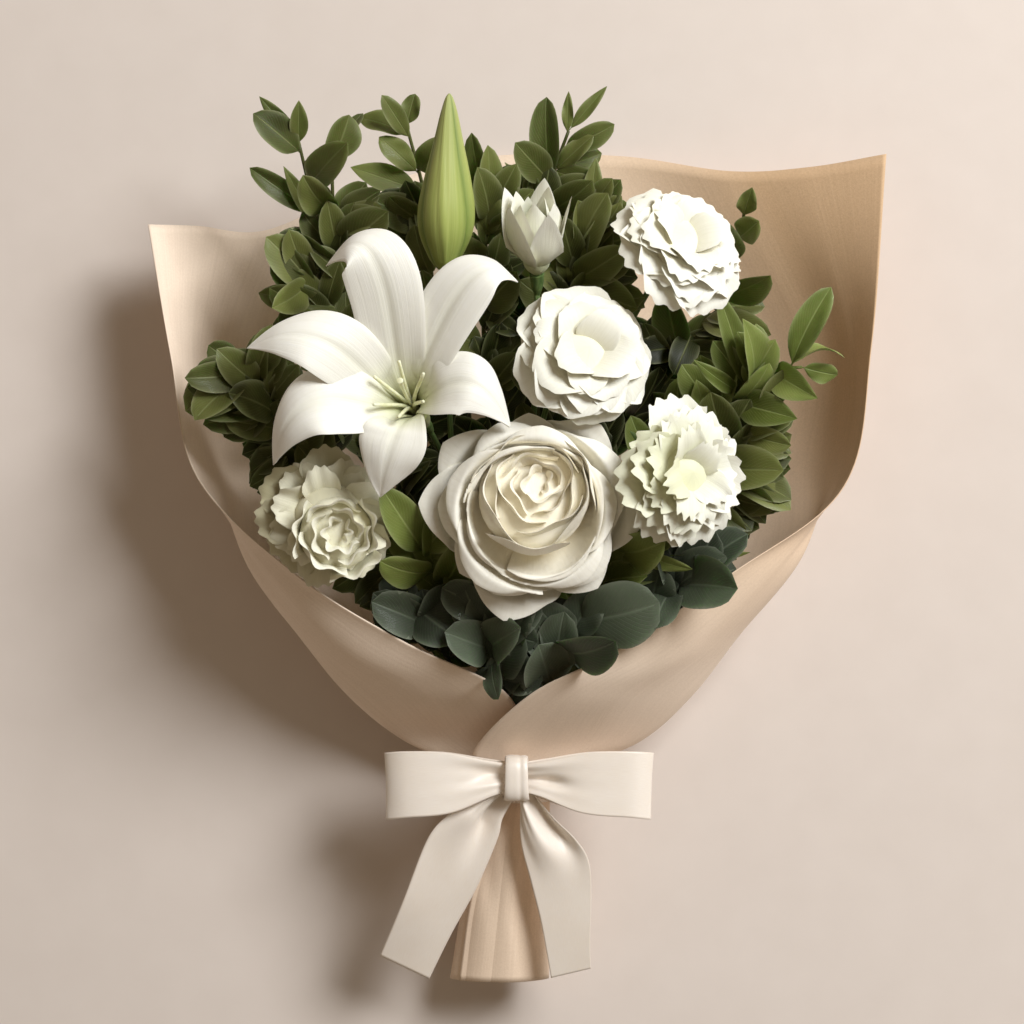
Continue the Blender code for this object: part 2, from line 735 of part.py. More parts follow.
def tepal_surface(crest, tip, half_width, outside):
    """A lily tepal: up the throat, out over its crest and down to its tip."""
    base, throat = Vector(LILY_BASE), Vector(LILY_THROAT)
    axis = (throat - base).normalized()
    crest, tip = Vector(crest), Vector(tip)
    out = crest - throat
    out = (out - axis * out.dot(axis)).normalized()
    spread = 1.6 if outside else 0.0
    ridge = throat + out * 22.0 + axis * 11.0
    points = [base + out * (2.0 + spread) + axis * 14.0, throat + out * (8.0 + spread) - axis * 6.0,
              ridge, ridge.lerp(crest, 0.5) + axis * 3.0, crest,
              crest.lerp(tip, 0.55) + axis * 4.0, tip]
    widths = [2.6, 4.4, 0.62 * half_width, half_width, 0.88 * half_width,
              0.55 * half_width, 0.5]
    return strip_surface(points, axis.cross(out), widths, fold=-0.12, curl=0.16, wave=1.0)


def build_lily(collection):
    """The open lily: six recurved tepals on a short receptacle."""
    base, throat = Vector(LILY_BASE), Vector(LILY_THROAT)
    pieces = [turned(((3.4, 0.0), (5.0, 8.0), (6.4, 18.0)), 8, frame_at(base, throat - base))]
    for number, (crest, tip, half_width) in enumerate(LILY_TEPALS):
        surface = tepal_surface(crest, tip, half_width, number % 2 == 1)
        pieces.append(lens(surface, 6, 4, TEPAL_HALF_THICKNESS))
    return fuse("lily_bloom", pieces, material("white_petal", PETAL_WHITE, 0.6), collection)


def build_stamens(collection):
    """Six pale filaments and the pistil, rising from the lily's receptacle."""
    base, throat = Vector(LILY_BASE), Vector(LILY_THROAT)
    frame = frame_at(base, throat - base)
    pieces = [turned(((2.2, 18.4), (2.0, 24.0), (1.0, 27.0)), 6, frame)]
    pieces.append(tube([frame @ Vector(p) for p in ((0, 0, 20), (0.5, 1, 45), (2, 3, 66))],
                       (1.0, 1.0, 1.5), 0))
    for k in range(6):
        turn = math.pi * (k + 0.5) / 3.0
        side = Vector((math.cos(turn), math.sin(turn), 0.0))
        route = (side * 1.2, side * 2.6, side * 12.0)
        heights = (20.0, 38.0, 62.0)
        points = [frame @ (p + Vector((0.0, 0.0, h))) for p, h in zip(route, heights)]
        pieces.append(tube(points, (0.8, 0.8, 0.9), 0))
    return fuse("lily_stamens", pieces, material("filament", FILAMENT_GREEN, 0.5), collection)


def build_lily_bud(collection):
    """The closed lily bud, a ridged spindle."""
    base, tip = Vector(LILY_BUD_BASE), Vector(LILY_BUD_TIP)
    frame = frame_at(base, tip - base)
    length = (tip - base).length
    bm = bmesh.new()
    rings = []
    profile = ((0.0, 3.4), (0.06, 8.0), (0.20, 13.4), (0.36, 14.6), (0.54, 11.6), (0.72, 7.6),
               (0.90, 4.4), (0.98, 2.2))
    sides = 12
    for s, radius in profile:
        ring = []
        for k in range(sides):
            turn = 2.0 * math.pi * k / sides
            ridge = radius * (1.0 + 0.09 * math.cos(3.0 * turn))
            ring.append(bm.verts.new(frame @ Vector((ridge * math.cos(turn),
                                                     ridge * math.sin(turn), s * length))))
        rings.append(ring)
    for low, high in zip(rings[:-1], rings[1:]):
        for k in range(sides):
            n = (k + 1) % sides
            split_face(bm, (low[k], low[n], high[n], high[k]), False, True)
    bm.faces.new(rings[0])
    bm.faces.new(rings[-1])
    bmesh.ops.triangulate(bm, faces=bm.faces)
    bmesh.ops.recalc_face_normals(bm, faces=bm.faces)
    return fuse("lily_bud", [bm], material("bud_green", BUD_GREEN, 0.45), collection)


def build_rosebud(collection):
    """A white rosebud, just opening."""
    frame = frame_at(Vector(ROSEBUD_BASE), ROSEBUD_AXIS)
    pieces = [turned(((3.0, 0.0), (8.5, 7.0), (9.0, 20.0), (6.0, 34.0), (0.0, 40.0)), 6, frame)]
    ring_of_petals(pieces, frame, 3, 0.4, 1.00, [(6, 12), (11, 27), (8, 44)],
                   rows=2, skew=1.3, rounding=0.12)
    ring_of_petals(pieces, frame, 3, 1.4, 0.96, [(5, 5), (14.5, 22), (13, 39)],
                   rows=2, skew=1.3, rounding=0.20)
    return fuse("rosebud_bloom", pieces, material("white_petal", PETAL_WHITE, 0.6), collection)


# Stem routes

def neck_slots(count):
    """Places of the stems in the tied neck, packed like round rods, in rows."""
    found = []
    reach = 4
    for row in range(-reach, reach + 1):
        for column in range(-reach, reach + 1):
            x = SLOT_SPACING * (column + 0.5 * (row % 2))
            z = SLOT_SPACING * row * math.sqrt(0.75)
            found.append((round(math.hypot(x, z), 4), x, z))
    nearest = sorted(found)[:count]
    rows = {}
    for _, x, z in nearest:
        rows.setdefault(round(z, 3), []).append(x)
    return [(z, sorted(xs)) for z, xs in sorted(rows.items(), reverse=True)]


def half_way(way):
    """Where a stem is headed as it leaves the neck."""
    if len(way) > 1:
        return way[0]
    reach = (way[0] - NECK_CENTRE) * 0.5
    return NECK_CENTRE + Vector((reach.x, reach.y, reach.z * 0.6))


def assign_slots(targets):
    """Give each stem the slot that lies on its side of the neck."""
    def slope(name, axis):
        way = targets[name] - NECK_CENTRE
        return way[axis] / max(way.y, 20.0)
    order = sorted(targets, key=lambda name: -slope(name, 2))
    slots = {}
    for z, xs in neck_slots(len(targets)):
        row, order = order[:len(xs)], order[len(xs):]
        for name, x in zip(sorted(row, key=lambda name: slope(name, 0)), xs):
            slots[name] = Vector((x, 0.0, z))
    return slots


def stem_route(slot, waypoints, end_direction, points):
    """Points from the neck to the end of a stem, through its waypoints."""
    start = NECK_CENTRE + slot + Vector((0.0, 8.0, 0.0))
    end = waypoints[-1]
    way = end - start
    leave = start + Vector((0.12 * way.x, 0.30 * way.y + 8.0, 0.10 * way.z))
    arrive = end - Vector(end_direction).normalized() * (0.28 * way.length)
    knots = [start, leave] + list(waypoints[:-1])
    if len(waypoints) == 1:
        line = []
        for k in range(points):
            t = k / (points - 1)
            line.append(start * (1 - t) ** 3 + leave * 3 * t * (1 - t) ** 2
                        + arrive * 3 * t * t * (1 - t) + end * t ** 3)
        return line
    knots.append(end)
    return [spline(knots, k / (points - 1)) for k in range(points)]


def relax_routes(names, routes, radii, trees, balls, owners):
    """Bend stems clear of each other, of the wrap and of the flower heads."""
    rest = np.array([[tuple(p) for p in routes[name]] for name in names])
    shift = np.zeros_like(rest)
    count, points = rest.shape[:2]
    girth = np.array([radii[name] for name in names])
    places = np.linspace(0.0, points - 1.0, RELAX_SAMPLES * (points - 1) + 1)
    weights = np.maximum(1.0 - np.abs(places[:, None] - np.arange(points)[None, :]), 0.0)
    owner = np.repeat(np.arange(count), len(places))
    seg_owner = np.repeat(np.arange(count), points - 1)
    clear = girth[owner][:, None] + girth[seg_owner][None, :] + ROD_CLEARANCE
    same = owner[:, None] == seg_owner[None, :]
    free = np.ones((count, points, 1))
    free[:, :1] = 0.0
    free[:, -2:] = 0.0
    for _ in range(RELAX_STEPS):
        now = rest + shift
        flat = np.einsum("fp,npc->nfc", weights, now).reshape(-1, 3)
        start = now[:, :-1].reshape(-1, 3)
        edge = now[:, 1:].reshape(-1, 3) - start
        away = flat[:, None, :] - start[None, :, :]
        along = np.clip((away * edge).sum(2) / (edge * edge).sum(1), 0.0, 1.0)
        away -= along[..., None] * edge
        gap = np.sqrt((away * away).sum(2)) + 1e-6
        lack = np.where(same, 0.0, np.maximum(clear - gap, 0.0))
        move = away / gap[..., None] * (RELAX_PUSH * lack)[..., None]
        push = np.einsum("fp,nfc->npc", weights, move.sum(1).reshape(count, len(places), 3))
        back = (-move * (1.0 - along)[..., None]).sum(0).reshape(count, points - 1, 3)
        push[:, :-1] += back
        ahead = (-move * along[..., None]).sum(0).reshape(count, points - 1, 3)
        push[:, 1:] += ahead
        for i, name in enumerate(names):
            for k in range(1, points - 2):
                place = Vector(now[i, k])
                for owner_name, centre, radius in balls:
                    way = place - centre
                    if owner_name != owners.get(name) and way.length < radius + girth[i]:
                        way.z -= 0.6 * radius
                        way.normalize()
                        push[i, k] += np.array(way) * 0.5
                for tree in trees:
                    hit = tree.find_nearest(place, girth[i] + 1.3)
                    if hit[0] is not None and hit[3] > 1e-6:
                        way = (place - hit[0]) / hit[3]
                        push[i, k] += np.array(way) * (girth[i] + 1.3 - hit[3])
        shift += push * free
        smooth = shift.copy()
        smooth[:, 1:-1] = 0.5 * (shift[:, :-2] + shift[:, 2:])
        shift = (shift + RELAX_SMOOTHING * (smooth - shift)) * free
    done = rest + shift
    return {name: [Vector(p) for p in done[i]] for i, name in enumerate(names)}


# Flower stems

FLOWER_STEMS = {
    "rose_stem": (ROSE_BASE, ROSE_AXIS, 2.1, 1.0),
    "carnation_upper_stem": (RUFFLED["carnation_upper"][0], RUFFLED["carnation_upper"][1],
                             1.8, 0.92),
    "peony_stem": (RUFFLED["peony_bloom"][0], RUFFLED["peony_bloom"][1], 1.9, 0.97),
    "carnation_lower_stem": (RUFFLED["carnation_lower"][0], RUFFLED["carnation_lower"][1],
                             1.8, 0.98),
    "cream_stem": (RUFFLED["cream_bloom"][0], RUFFLED["cream_bloom"][1], 1.8, 0.98),
    "rosebud_stem": (ROSEBUD_BASE, ROSEBUD_AXIS, 1.6, 0.8),
    "lily_stem": (LILY_BASE, Vector(LILY_THROAT) - Vector(LILY_BASE), 2.2, 0.9),
}
STEM_OF_BLOOM = {
    "rose_stem": "rose_bloom", "carnation_upper_stem": "carnation_upper",
    "peony_stem": "peony_bloom", "carnation_lower_stem": "carnation_lower",
    "cream_stem": "cream_bloom", "rosebud_stem": "rosebud_bloom", "lily_stem": "lily_bloom",
}
THICK_STEMS = ("rose_stem", "lily_stem")
DROOPING_SEPAL = ((3.0, -5.0), (9.0, -5.0), (18.0, -9.0), (25.0, -17.0))
OPEN_SEPAL = ((3.0, -5.0), (10.0, -6.0), (21.0, -6.0), (31.0, -2.0))
HUGGING_SEPAL = ((3.0, -4.0), (13.0, 0.0), (19.5, 14.0), (20.0, 30.0))


def sepal_surface(frame, angle, profile, half_width):
    """A narrow green sepal in a plane through the bloom's axis."""
    turn = Matrix.Rotation(angle, 4, "Z")
    points = [frame @ turn @ Vector((r, 0.0, h)) for r, h in profile]
    side = (frame @ turn).to_3x3() @ Vector((0.0, 1.0, 0.0))
    return strip_surface(points, side, [0.5 * half_width, half_width, 0.7 * half_width, 0.2],
                         fold=0.15)


def calyx(base, axis, size, profile, half_width, spin):
    """The green cup under a bloom, and its sepals."""
    frame = frame_at(Vector(base), axis, spin)
    cup = turned(((1.4, -15.0), (4.2 * size, -8.0), (5.2 * size, -NODE_GAP)), 6, frame)
    sepals = []
    for k in range(SEPAL_COUNT):
        surface = sepal_surface(frame, 2.0 * math.pi * k / SEPAL_COUNT, profile, half_width)
        sepals.append(lens(surface, SEPAL_ROWS, 2, LEAF_HALF_THICKNESS))
    return [cup], sepals


def rod_pieces(slot, route, radius, tip_radius, number, resolution):
    """A stem's round rod, from its cut end inside the skirt to its tip."""
    cut = NECK_CENTRE + slot * 1.18 + Vector((-5.0, STEM_CUT_END - NECK_CENTRE.y, -3.0))
    cut.y -= 5.0 * math.sin(2.4 * number)
    points = [cut, NECK_CENTRE + slot + Vector((0.0, -12.0, 0.0))] + route
    radii = [radius] * 4
    for k in range(len(points) - 4):
        radii.append(radius + (tip_radius - radius) * (k + 1) / (len(points) - 4))
    return tube(points, radii, resolution)


# Leafy sprays

def leaf(root, tip, width, outline="ovate", bend=0.5, fold=0.25, face=(0.0, 0.0, 1.0),
         twist=0.0, wave=0.0):
    """One leaf of a spray, as its designer wants it."""
    return {"root": Vector(root), "tip": Vector(tip), "width": width, "outline": outline,
            "bend": bend, "fold": fold, "face": face, "twist": twist, "wave": wave}


# Each spray: its finish, the way of its stem, its own leaves, and how many more leaves
# grow along it, with their length, width and outline.
SPRAYS = {
    "ruscus_far_left": ("ruscus", ((-62, 0, 34), (-92, 110, 62), (-106, 172, 80),
                                   (-117, 222, 94)), [
        leaf((-118, 226, 95), (-138, 246, 101), 10, "lance"),
        leaf((-115, 216, 93), (-141, 236, 99), 21, "ovate", 0.6, 0.35, (0.3, -0.2, 1.0)),
        leaf((-116, 221, 93), (-116, 243, 100), 11, "lance", 0.4),
        leaf((-114, 212, 91), (-99, 206, 99), 12, "round", 0.4),
        leaf((-109, 182, 84), (-144, 208, 93), 15, "ovate", 0.5, 0.5, (-0.3, 0.3, 1.0)),
        leaf((-107, 176, 82), (-121, 212, 88), 10, "lance", 0.4)], (3, 40, 22, "ovate")),
    "ruscus_left": ("ruscus", ((-42, 30, 34), (-84, 118, 66), (-97, 171, 80),
                               (-99, 214, 93)), [
        leaf((-100, 211, 92), (-89, 236, 101), 22, "ovate", 0.6, 0.3, (0.3, -0.1, 1.0)),
        leaf((-99, 214, 93), (-79, 243, 105), 13, "ovate", 0.5, 0.3, (-0.2, 0.5, 1.0)),
        leaf((-98, 178, 82), (-80, 200, 92), 19, "ovate", 0.5),
        leaf((-98, 190, 86), (-110, 200, 94), 12, "ovate", 0.4)], (4, 42, 24, "ovate")),
    "ruscus_mid": ("ruscus", ((-26, 44, 34), (-42, 120, 62), (-46, 180, 78),
                              (-58, 232, 93)), [
        leaf((-56, 224, 91), (-71, 246, 99), 12, "ovate", 0.4),
        leaf((-58, 231, 93), (-53, 248, 97), 12, "ovate", 0.4),
        leaf((-57, 226, 91), (-84, 236, 95), 15, "ovate", 0.5, 0.3, (0.1, 0.5, 1.0)),
        leaf((-51, 206, 86), (-73, 225, 93), 15, "ovate", 0.5),
        leaf((-48, 196, 83), (-89, 209, 87), 17, "lance", 0.5)], (5, 41, 25, "ovate")),
    "bud_leaves": ("ruscus", ((-13, 60, 42), (-16, 130, 64), (-14, 172, 82),
                              (-11, 192, 90)), [
        leaf((-13, 180, 86), (-22, 226, 103), 17, "ovate", 0.5, 0.3, (-0.2, 0.0, 1.0)),
        leaf((-13, 176, 84), (-7, 220, 99), 18, "ovate", 0.5, 0.3, (0.3, 0.0, 1.0))],
                   (6, 46, 27, "ovate")),
    "ruscus_top": ("ruscus", ((8, 60, 38), (12, 140, 58), (18, 190, 80), (31, 228, 94)), [
        leaf((21, 202, 85), (19, 246, 99), 20, "ovate", 0.5, 0.4, (-0.4, 0.0, 1.0)),
        leaf((23, 207, 87), (34, 240, 103), 15, "ovate", 0.5),
        leaf((30, 226, 94), (31, 249, 99), 7, "lance", 0.3),
        leaf((31, 228, 94), (52, 252, 98), 8, "lance", 0.3),
        leaf((28, 218, 91), (56, 231, 100), 15, "ovate", 0.6, 0.2, (0.2, -0.3, 1.0)),
        leaf((24, 206, 87), (50, 222, 96), 16, "ovate", 0.5),
        leaf((17, 186, 79), (-4, 212, 84), 9, "lance", 0.3)], (4, 42, 22, "ovate")),
    "round_leaf_spray": ("ruscus", ((22, 64, 48), (30, 120, 64), (36, 160, 84),
                                    (47, 192, 92)), [
        leaf((42, 178, 90), (46, 213, 98), 12, "lance", 0.4),
        leaf((34, 152, 82), (52, 192, 106), 24, "round", 0.7, 0.2, (-0.5, 0.2, 1.0)),
        leaf((33, 146, 80), (62, 162, 106), 21, "round", 0.8, 0.2, (-0.2, -0.3, 1.0)),
        leaf((36, 160, 84), (2, 202, 94), 12, "lance", 0.4)], (6, 46, 27, "round")),
    "right_upper_spray": ("ruscus", ((52, 56, 38), (104, 120, 58), (124, 166, 80),
                                     (128, 186, 90)), [
        leaf((127, 182, 88), (131, 196, 97), 12, "lance", 0.4),
        leaf((125, 170, 83), (135, 178, 101), 17, "ovate", 0.5),
        leaf((113, 140, 68), (141, 148, 104), 24, "ovate", 0.6, 0.3, (0.5, 0.0, 1.0)),
        leaf((106, 124, 61), (142, 116, 96), 20, "ovate", 0.6, 0.3, (0.5, 0.0, 1.0))],
                          (6, 46, 27, "ovate")),
    "right_spray": ("fresh", ((62, 24, 48), (112, 68, 84), (134, 94, 98), (158, 98, 104)), [
        leaf((127, 86, 94), (110, 140, 127), 15, "lance", 0.5, 0.3, (0.4, 0.1, 1.0)),
        leaf((126, 84, 93), (98, 101, 122), 10, "lance", 0.7, 0.2, (0.0, -0.3, 1.0)),
        leaf((152, 97, 103), (173, 141, 113), 19, "ovate", 0.6, 0.4, (-0.5, 0.2, 1.0)),
        leaf((151, 97, 103), (183, 108, 116), 15, "lance", 1.9, 0.2, (0.0, 1.0, 0.5)),
        leaf((158, 98, 104), (178, 94, 99), 13, "ovate", 0.5, 0.2, (0.0, -0.3, 1.0))],
                    (5, 44, 22, "lance")),
    "right_low_spray": ("ruscus", ((58, -14, 46), (106, 36, 74), (128, 64, 98),
                                   (136, 74, 106)), [
        leaf((128, 64, 98), (152, 74, 114), 19, "ovate", 0.9, 0.3, (0.0, 0.3, 1.0)),
        leaf((127, 62, 97), (151, 55, 116), 17, "ovate", 0.9, 0.3, (0.2, -0.2, 1.0)),
        leaf((116, 46, 84), (152, 20, 104), 23, "ovate", 0.6, 0.3),
        leaf((134, 72, 104), (113, 66, 122), 10, "lance", 0.6)], (6, 46, 26, "ovate")),
    "strap_leaf_spray": ("fresh", ((28, -60, 58), (52, -12, 86), (62, 4, 100)), [
        leaf((61, 2, 98), (98, -12, 112), 12, "strap", 0.9, 0.2, (0.0, -0.4, 1.0)),
        leaf((56, -6, 91), (130, -3, 104), 11, "strap", 0.6, 0.2, (0.0, -0.5, 1.0))],
                         (5, 44, 24, "ovate")),
    "left_upper_spray": ("ruscus", ((-56, 8, 50), (-84, 92, 62), (-108, 138, 80),
                                    (-118, 152, 90)), [
        leaf((-110, 142, 83), (-134, 169, 98), 25, "ovate", 0.7, 0.3, (0.4, 0.0, 1.0)),
        leaf((-104, 131, 77), (-140, 140, 90), 18, "ovate", 0.6)], (6, 46, 27, "ovate")),
    "left_spray": ("ruscus", ((-60, -10, 54), (-116, 44, 66), (-134, 82, 88),
                              (-148, 98, 98)), [
        leaf((-144, 94, 95), (-178, 74, 105), 32, "round", 0.7, 0.15, (0.1, 0.3, 1.0)),
        leaf((-132, 80, 86), (-158, 60, 94), 23, "ovate", 0.6, 0.2, (0.2, 0.2, 1.0)),
        leaf((-138, 88, 91), (-124, 110, 104), 18, "ovate", 0.6),
        leaf((-148, 98, 98), (-166, 110, 100), 17, "ovate", 0.5)], (6, 46, 27, "ovate")),
    "centre_leaves": ("fresh", ((-26, -50, 58), (-44, -12, 88), (-50, 0, 102)), [
        leaf((-48, -4, 97), (-70, 32, 124), 23, "ovate", 0.7, 0.3, (0.3, -0.3, 1.0)),
        leaf((-46, -8, 92), (-22, 18, 112), 18, "ovate", 0.6, 0.3, (-0.2, -0.2, 1.0))],
                      (5, 44, 24, "ovate")),
    "eucalyptus_left": ("sage", ((-18, -92, 60), (-52, -34, 92)), [
        leaf((-52, -34, 92), (-30, -50, 104), 30, "round", 0.8, 0.1, (0.2, -0.2, 1.0)),
        leaf((-48, -41, 88), (-76, -38, 100), 24, "round", 0.7, 0.1, (-0.3, -0.2, 1.0)),
        leaf((-52, -34, 92), (-74, -14, 104), 24, "round", 0.6)], (5, 40, 30, "round")),
    "eucalyptus_centre": ("sage", ((-6, -92, 66), (-14, -34, 100)), [
        leaf((-13, -40, 96), (14, -52, 104), 26, "round", 0.8, 0.1, (0.0, -0.5, 1.0)),
        leaf((-10, -62, 84), (-12, -88, 88), 18, "round", 0.6, 0.1, (0.0, -0.6, 1.0)),
        leaf((-14, -34, 100), (-38, -22, 112), 24, "round", 0.7)], (5, 40, 30, "round")),
    "eucalyptus_right": ("sage", ((14, -92, 66), (36, -40, 100)), [
        leaf((36, -40, 100), (80, -30, 110), 40, "round", 0.6, 0.1, (0.1, -0.4, 1.0)),
        leaf((30, -54, 91), (56, -60, 100), 24, "round", 0.6, 0.1, (0.3, -0.4, 1.0)),
        leaf((32, -50, 94), (14, -32, 110), 26, "round", 0.7, 0.1, (-0.3, -0.2, 1.0))],
                         (5, 40, 30, "round")),
    "eucalyptus_far_right": ("sage", ((30, -84, 58), (78, -36, 84), (98, -14, 100)), [
        leaf((96, -16, 98), (126, -16, 104), 24, "round", 0.7, 0.1, (0.2, -0.3, 1.0)),
        leaf((86, -28, 91), (104, -40, 100), 22, "round", 0.6, 0.1, (0.2, -0.4, 1.0))],
                             (5, 40, 30, "round")),
}
SPRAY_FINISH = {"ruscus": RUSCUS_GREEN, "sage": SAGE_GREEN, "fresh": FRESH_GREEN}
SPRAY_RADIUS = 1.75
SPRAY_TIP_RADIUS = 0.9
FILL_START = 0.42
BLADE_START = 0.16
LEAF_LOWEST = 1.5
SMALL_LEAF = 14.0

# Ways to turn a leaf aside: lift of its tip, turn about the upright, and size.
LEAF_MOVES = (
    (0, 0, 1.0), (7, 0, 1.0), (-7, 0, 1.0), (0, 10, 1.0), (0, -10, 1.0), (12, 8, 0.95),
    (12, -8, 0.95), (-12, 8, 0.92), (-12, -8, 0.92), (18, 0, 0.9), (-16, 0, 0.85),
    (8, 20, 0.88), (8, -20, 0.88), (-8, 20, 0.85), (-8, -20, 0.85), (24, 12, 0.8),
    (24, -12, 0.8), (0, 32, 0.8), (0, -32, 0.8), (28, 0, 0.7), (10, 45, 0.7), (10, -45, 0.7),
)


def fill_leaves(name, route, amount):
    """More leaves along a spray's stem, alternate and each a little different."""
    count, length, width, outline = amount
    rng = random.Random(f"{SEED}{name}")
    leaves = []
    for k in range(count):
        t = FILL_START + (0.94 - FILL_START) * (k + rng.uniform(0.1, 0.9)) / count
        root = spline(route, t)
        ahead = (spline(route, min(t + 0.03, 1.0)) - spline(route, t - 0.03)).normalized()
        side = ahead.cross(Vector((0.0, 0.0, 1.0))).normalized() * (-1.0) ** k
        heading = (ahead * rng.uniform(0.35, 0.8) + side * rng.uniform(0.5, 1.0)
                   + Vector((0.0, 0.0, rng.uniform(0.45, 0.95)))).normalized()
        size = rng.uniform(0.82, 1.12)
        leaves.append(leaf(root, root + heading * length * size, width * size, outline,
                           rng.uniform(0.5, 1.0), rng.uniform(0.15, 0.4),
                           (rng.uniform(-0.4, 0.4), rng.uniform(-0.5, 0.3), 1.0)))
    return leaves


def moved_leaf(spec, root, move, grow):
    """The leaf's surface after one of the moves, grown by a margin."""
    lift, turn, size = move
    way = (spec["tip"] - root) * size
    way = Matrix.Rotation(math.radians(turn), 3, "Z") @ way
    way.z += lift
    return leaf_surface(root, root + way, spec["width"] * size + 2.0 * grow, spec["outline"],
                        spec["face"], spec["bend"], spec["fold"], spec["wave"], spec["twist"])


def blade_only(surface):
    """The surface of a leaf without its stalk."""
    def surface_from(s, u):
        return surface(BLADE_START + (1.0 - BLADE_START) * s, u)
    return surface_from


def fit_leaf(spec, route, trees, own, rows):
    """The first way to set a leaf that touches nothing else, or None.

    own holds the blades already on the same spray, and its rod."""
    root = nearest_on(route, spec["root"])
    for move in LEAF_MOVES:
        surface = moved_leaf(spec, root, move, NODE_GAP)
        probe = lens(surface, rows, 2, LEAF_HALF_THICKNESS + NODE_GAP)
        blade = lens(blade_only(surface), rows, 2, LEAF_HALF_THICKNESS + NODE_GAP)
        low = min(vert.co.z for vert in probe.verts)
        tree, blade_tree = bvh(probe), bvh(blade)
        probe.free()
        blade.free()
        if low < LEAF_LOWEST or any(tree.overlap(other) for other in trees):
            continue
        if any(blade_tree.overlap(other) for other in own):
            continue
        own.append(blade_tree)
        return lens(moved_leaf(spec, root, move, 0.0), rows, 2, LEAF_HALF_THICKNESS)
    return None


def build_tie(collection):
    """A turn of twine round the stems, under the paper."""
    bm = bmesh.new()
    rings = []
    for k in range(TIE_SIDES):
        turn = 2.0 * math.pi * k / TIE_SIDES
        out = Vector((math.cos(turn), 0.0, math.sin(turn)))
        ring = []
        for c in range(TWINE_SIDES):
            lean = 2.0 * math.pi * c / TWINE_SIDES
            across = Vector((0.0, TWINE_RADIUS * math.sin(lean), 0.0))
            reach = TIE_RADIUS + TWINE_RADIUS * math.cos(lean)
            ring.append(bm.verts.new(NECK_CENTRE + across + out * reach))
        rings.append(ring)
    for k in range(TIE_SIDES):
        low, high = rings[k], rings[(k + 1) % TIE_SIDES]
        for c in range(TWINE_SIDES):
            n = (c + 1) % TWINE_SIDES
            split_face(bm, (low[c], low[n], high[n], high[c]), False, True)
    bmesh.ops.recalc_face_normals(bm, faces=bm.faces)
    return fuse("stem_tie", [bm], material("twine", TWINE, 0.8), collection)


def build_blooms(collection):
    """Every flower head, as search trees by name."""
    trees = {
        "rose_bloom": build_rose(collection),
        "lily_bloom": build_lily(collection),
        "lily_stamens": build_stamens(collection),
        "lily_bud": build_lily_bud(collection),
        "rosebud_bloom": build_rosebud(collection),
    }
    for name, (base, axis, size, spin, whorls) in RUFFLED.items():
        if name == "cream_bloom":
            finish = material("ivory_petal", PETAL_IVORY, 0.6)
        else:
            finish = material("white_petal", PETAL_WHITE, 0.6)
        trees[name] = build_ruffled(name, base, axis, size, spin, whorls, finish, collection)
    return trees


def plan_stems(trees):
    """Slots in the neck, routes and radii of every stem, bent clear of each other."""
    ways, ends, radii = {}, {}, {}
    for name, (base, axis, radius, _) in FLOWER_STEMS.items():
        axis = Vector(axis).normalized()
        ways[name] = [Vector(base) - axis * CALYX_DEPTH]
        ends[name] = axis
        radii[name] = radius
    for name, (_, way, _, _) in SPRAYS.items():
        ways[name] = [Vector(p) for p in way]
        ends[name] = (ways[name][-1] - ways[name][-2]).normalized()
        radii[name] = SPRAY_RADIUS
    slots = assign_slots({name: half_way(way) for name, way in ways.items()})
    routes = {name: stem_route(slots[name], way, ends[name], STEM_POINTS)
              for name, way in ways.items()}
    routes = relax_routes(list(routes), routes, radii, [trees["kraft_paper"]], head_balls(),
                          STEM_OF_BLOOM)
    return slots, routes, radii


def build_rods(slots, routes, radii):
    """The round rod of every stem, still apart from its leaves."""
    rods = {}
    for number, name in enumerate(routes):
        tip = CALYX_NECK if name in FLOWER_STEMS else SPRAY_TIP_RADIUS
        resolution = 1 if name in THICK_STEMS else 0
        rods[name] = rod_pieces(slots[name], routes[name], radii[name], tip, number, resolution)
    return rods


def build_flower_stem(name, route, rod, others, collection):
    """A flower's stem with its calyx and those sepals that touch nothing."""
    base, axis, _, size = FLOWER_STEMS[name]
    green, sepals = flower_green(name, base, axis, size, route)
    pieces = [rod] + green
    for piece in sepals:
        tree = bvh(piece)
        if any(tree.overlap(other) for other in others):
            piece.free()
        else:
            pieces.append(piece)
    return fuse(name, pieces, material("stem_green", STEM_GREEN, 0.55), collection)


def build_spray(name, route, rod, others, collection):
    """A leafy spray: its stem, its own leaves and the ones that fill it."""
    finish, _, leaves, amount = SPRAYS[name]
    specs = [(spec, 4 if spec["width"] > SMALL_LEAF else 3) for spec in leaves]
    specs += [(spec, 3) for spec in fill_leaves(name, route, amount)]
    pieces = [rod]
    own = [bvh(rod)]
    for spec, rows in specs:
        piece = fit_leaf(spec, route, others, own, rows)
        if piece is not None:
            pieces.append(piece)
    return fuse(name, pieces, material(f"{finish}_leaf", SPRAY_FINISH[finish], 0.5), collection)


def main():
    clear_scene()
    collection = make_collection()
    trees = build_blooms(collection)
    trees["kraft_paper"] = build_paper(collection)
    trees["ribbon_bow"] = build_ribbon(collection)
    trees["stem_tie"] = build_tie(collection)
    slots, routes, radii = plan_stems(trees)
    rods = build_rods(slots, routes, radii)
    rod_trees = {name: bvh(rod) for name, rod in rods.items()}
    for name, route in routes.items():
        del rod_trees[name]
        others = list(trees.values()) + list(rod_trees.values())
        build = build_flower_stem if name in FLOWER_STEMS else build_spray
        trees[name] = build(name, route, rods[name], others, collection)


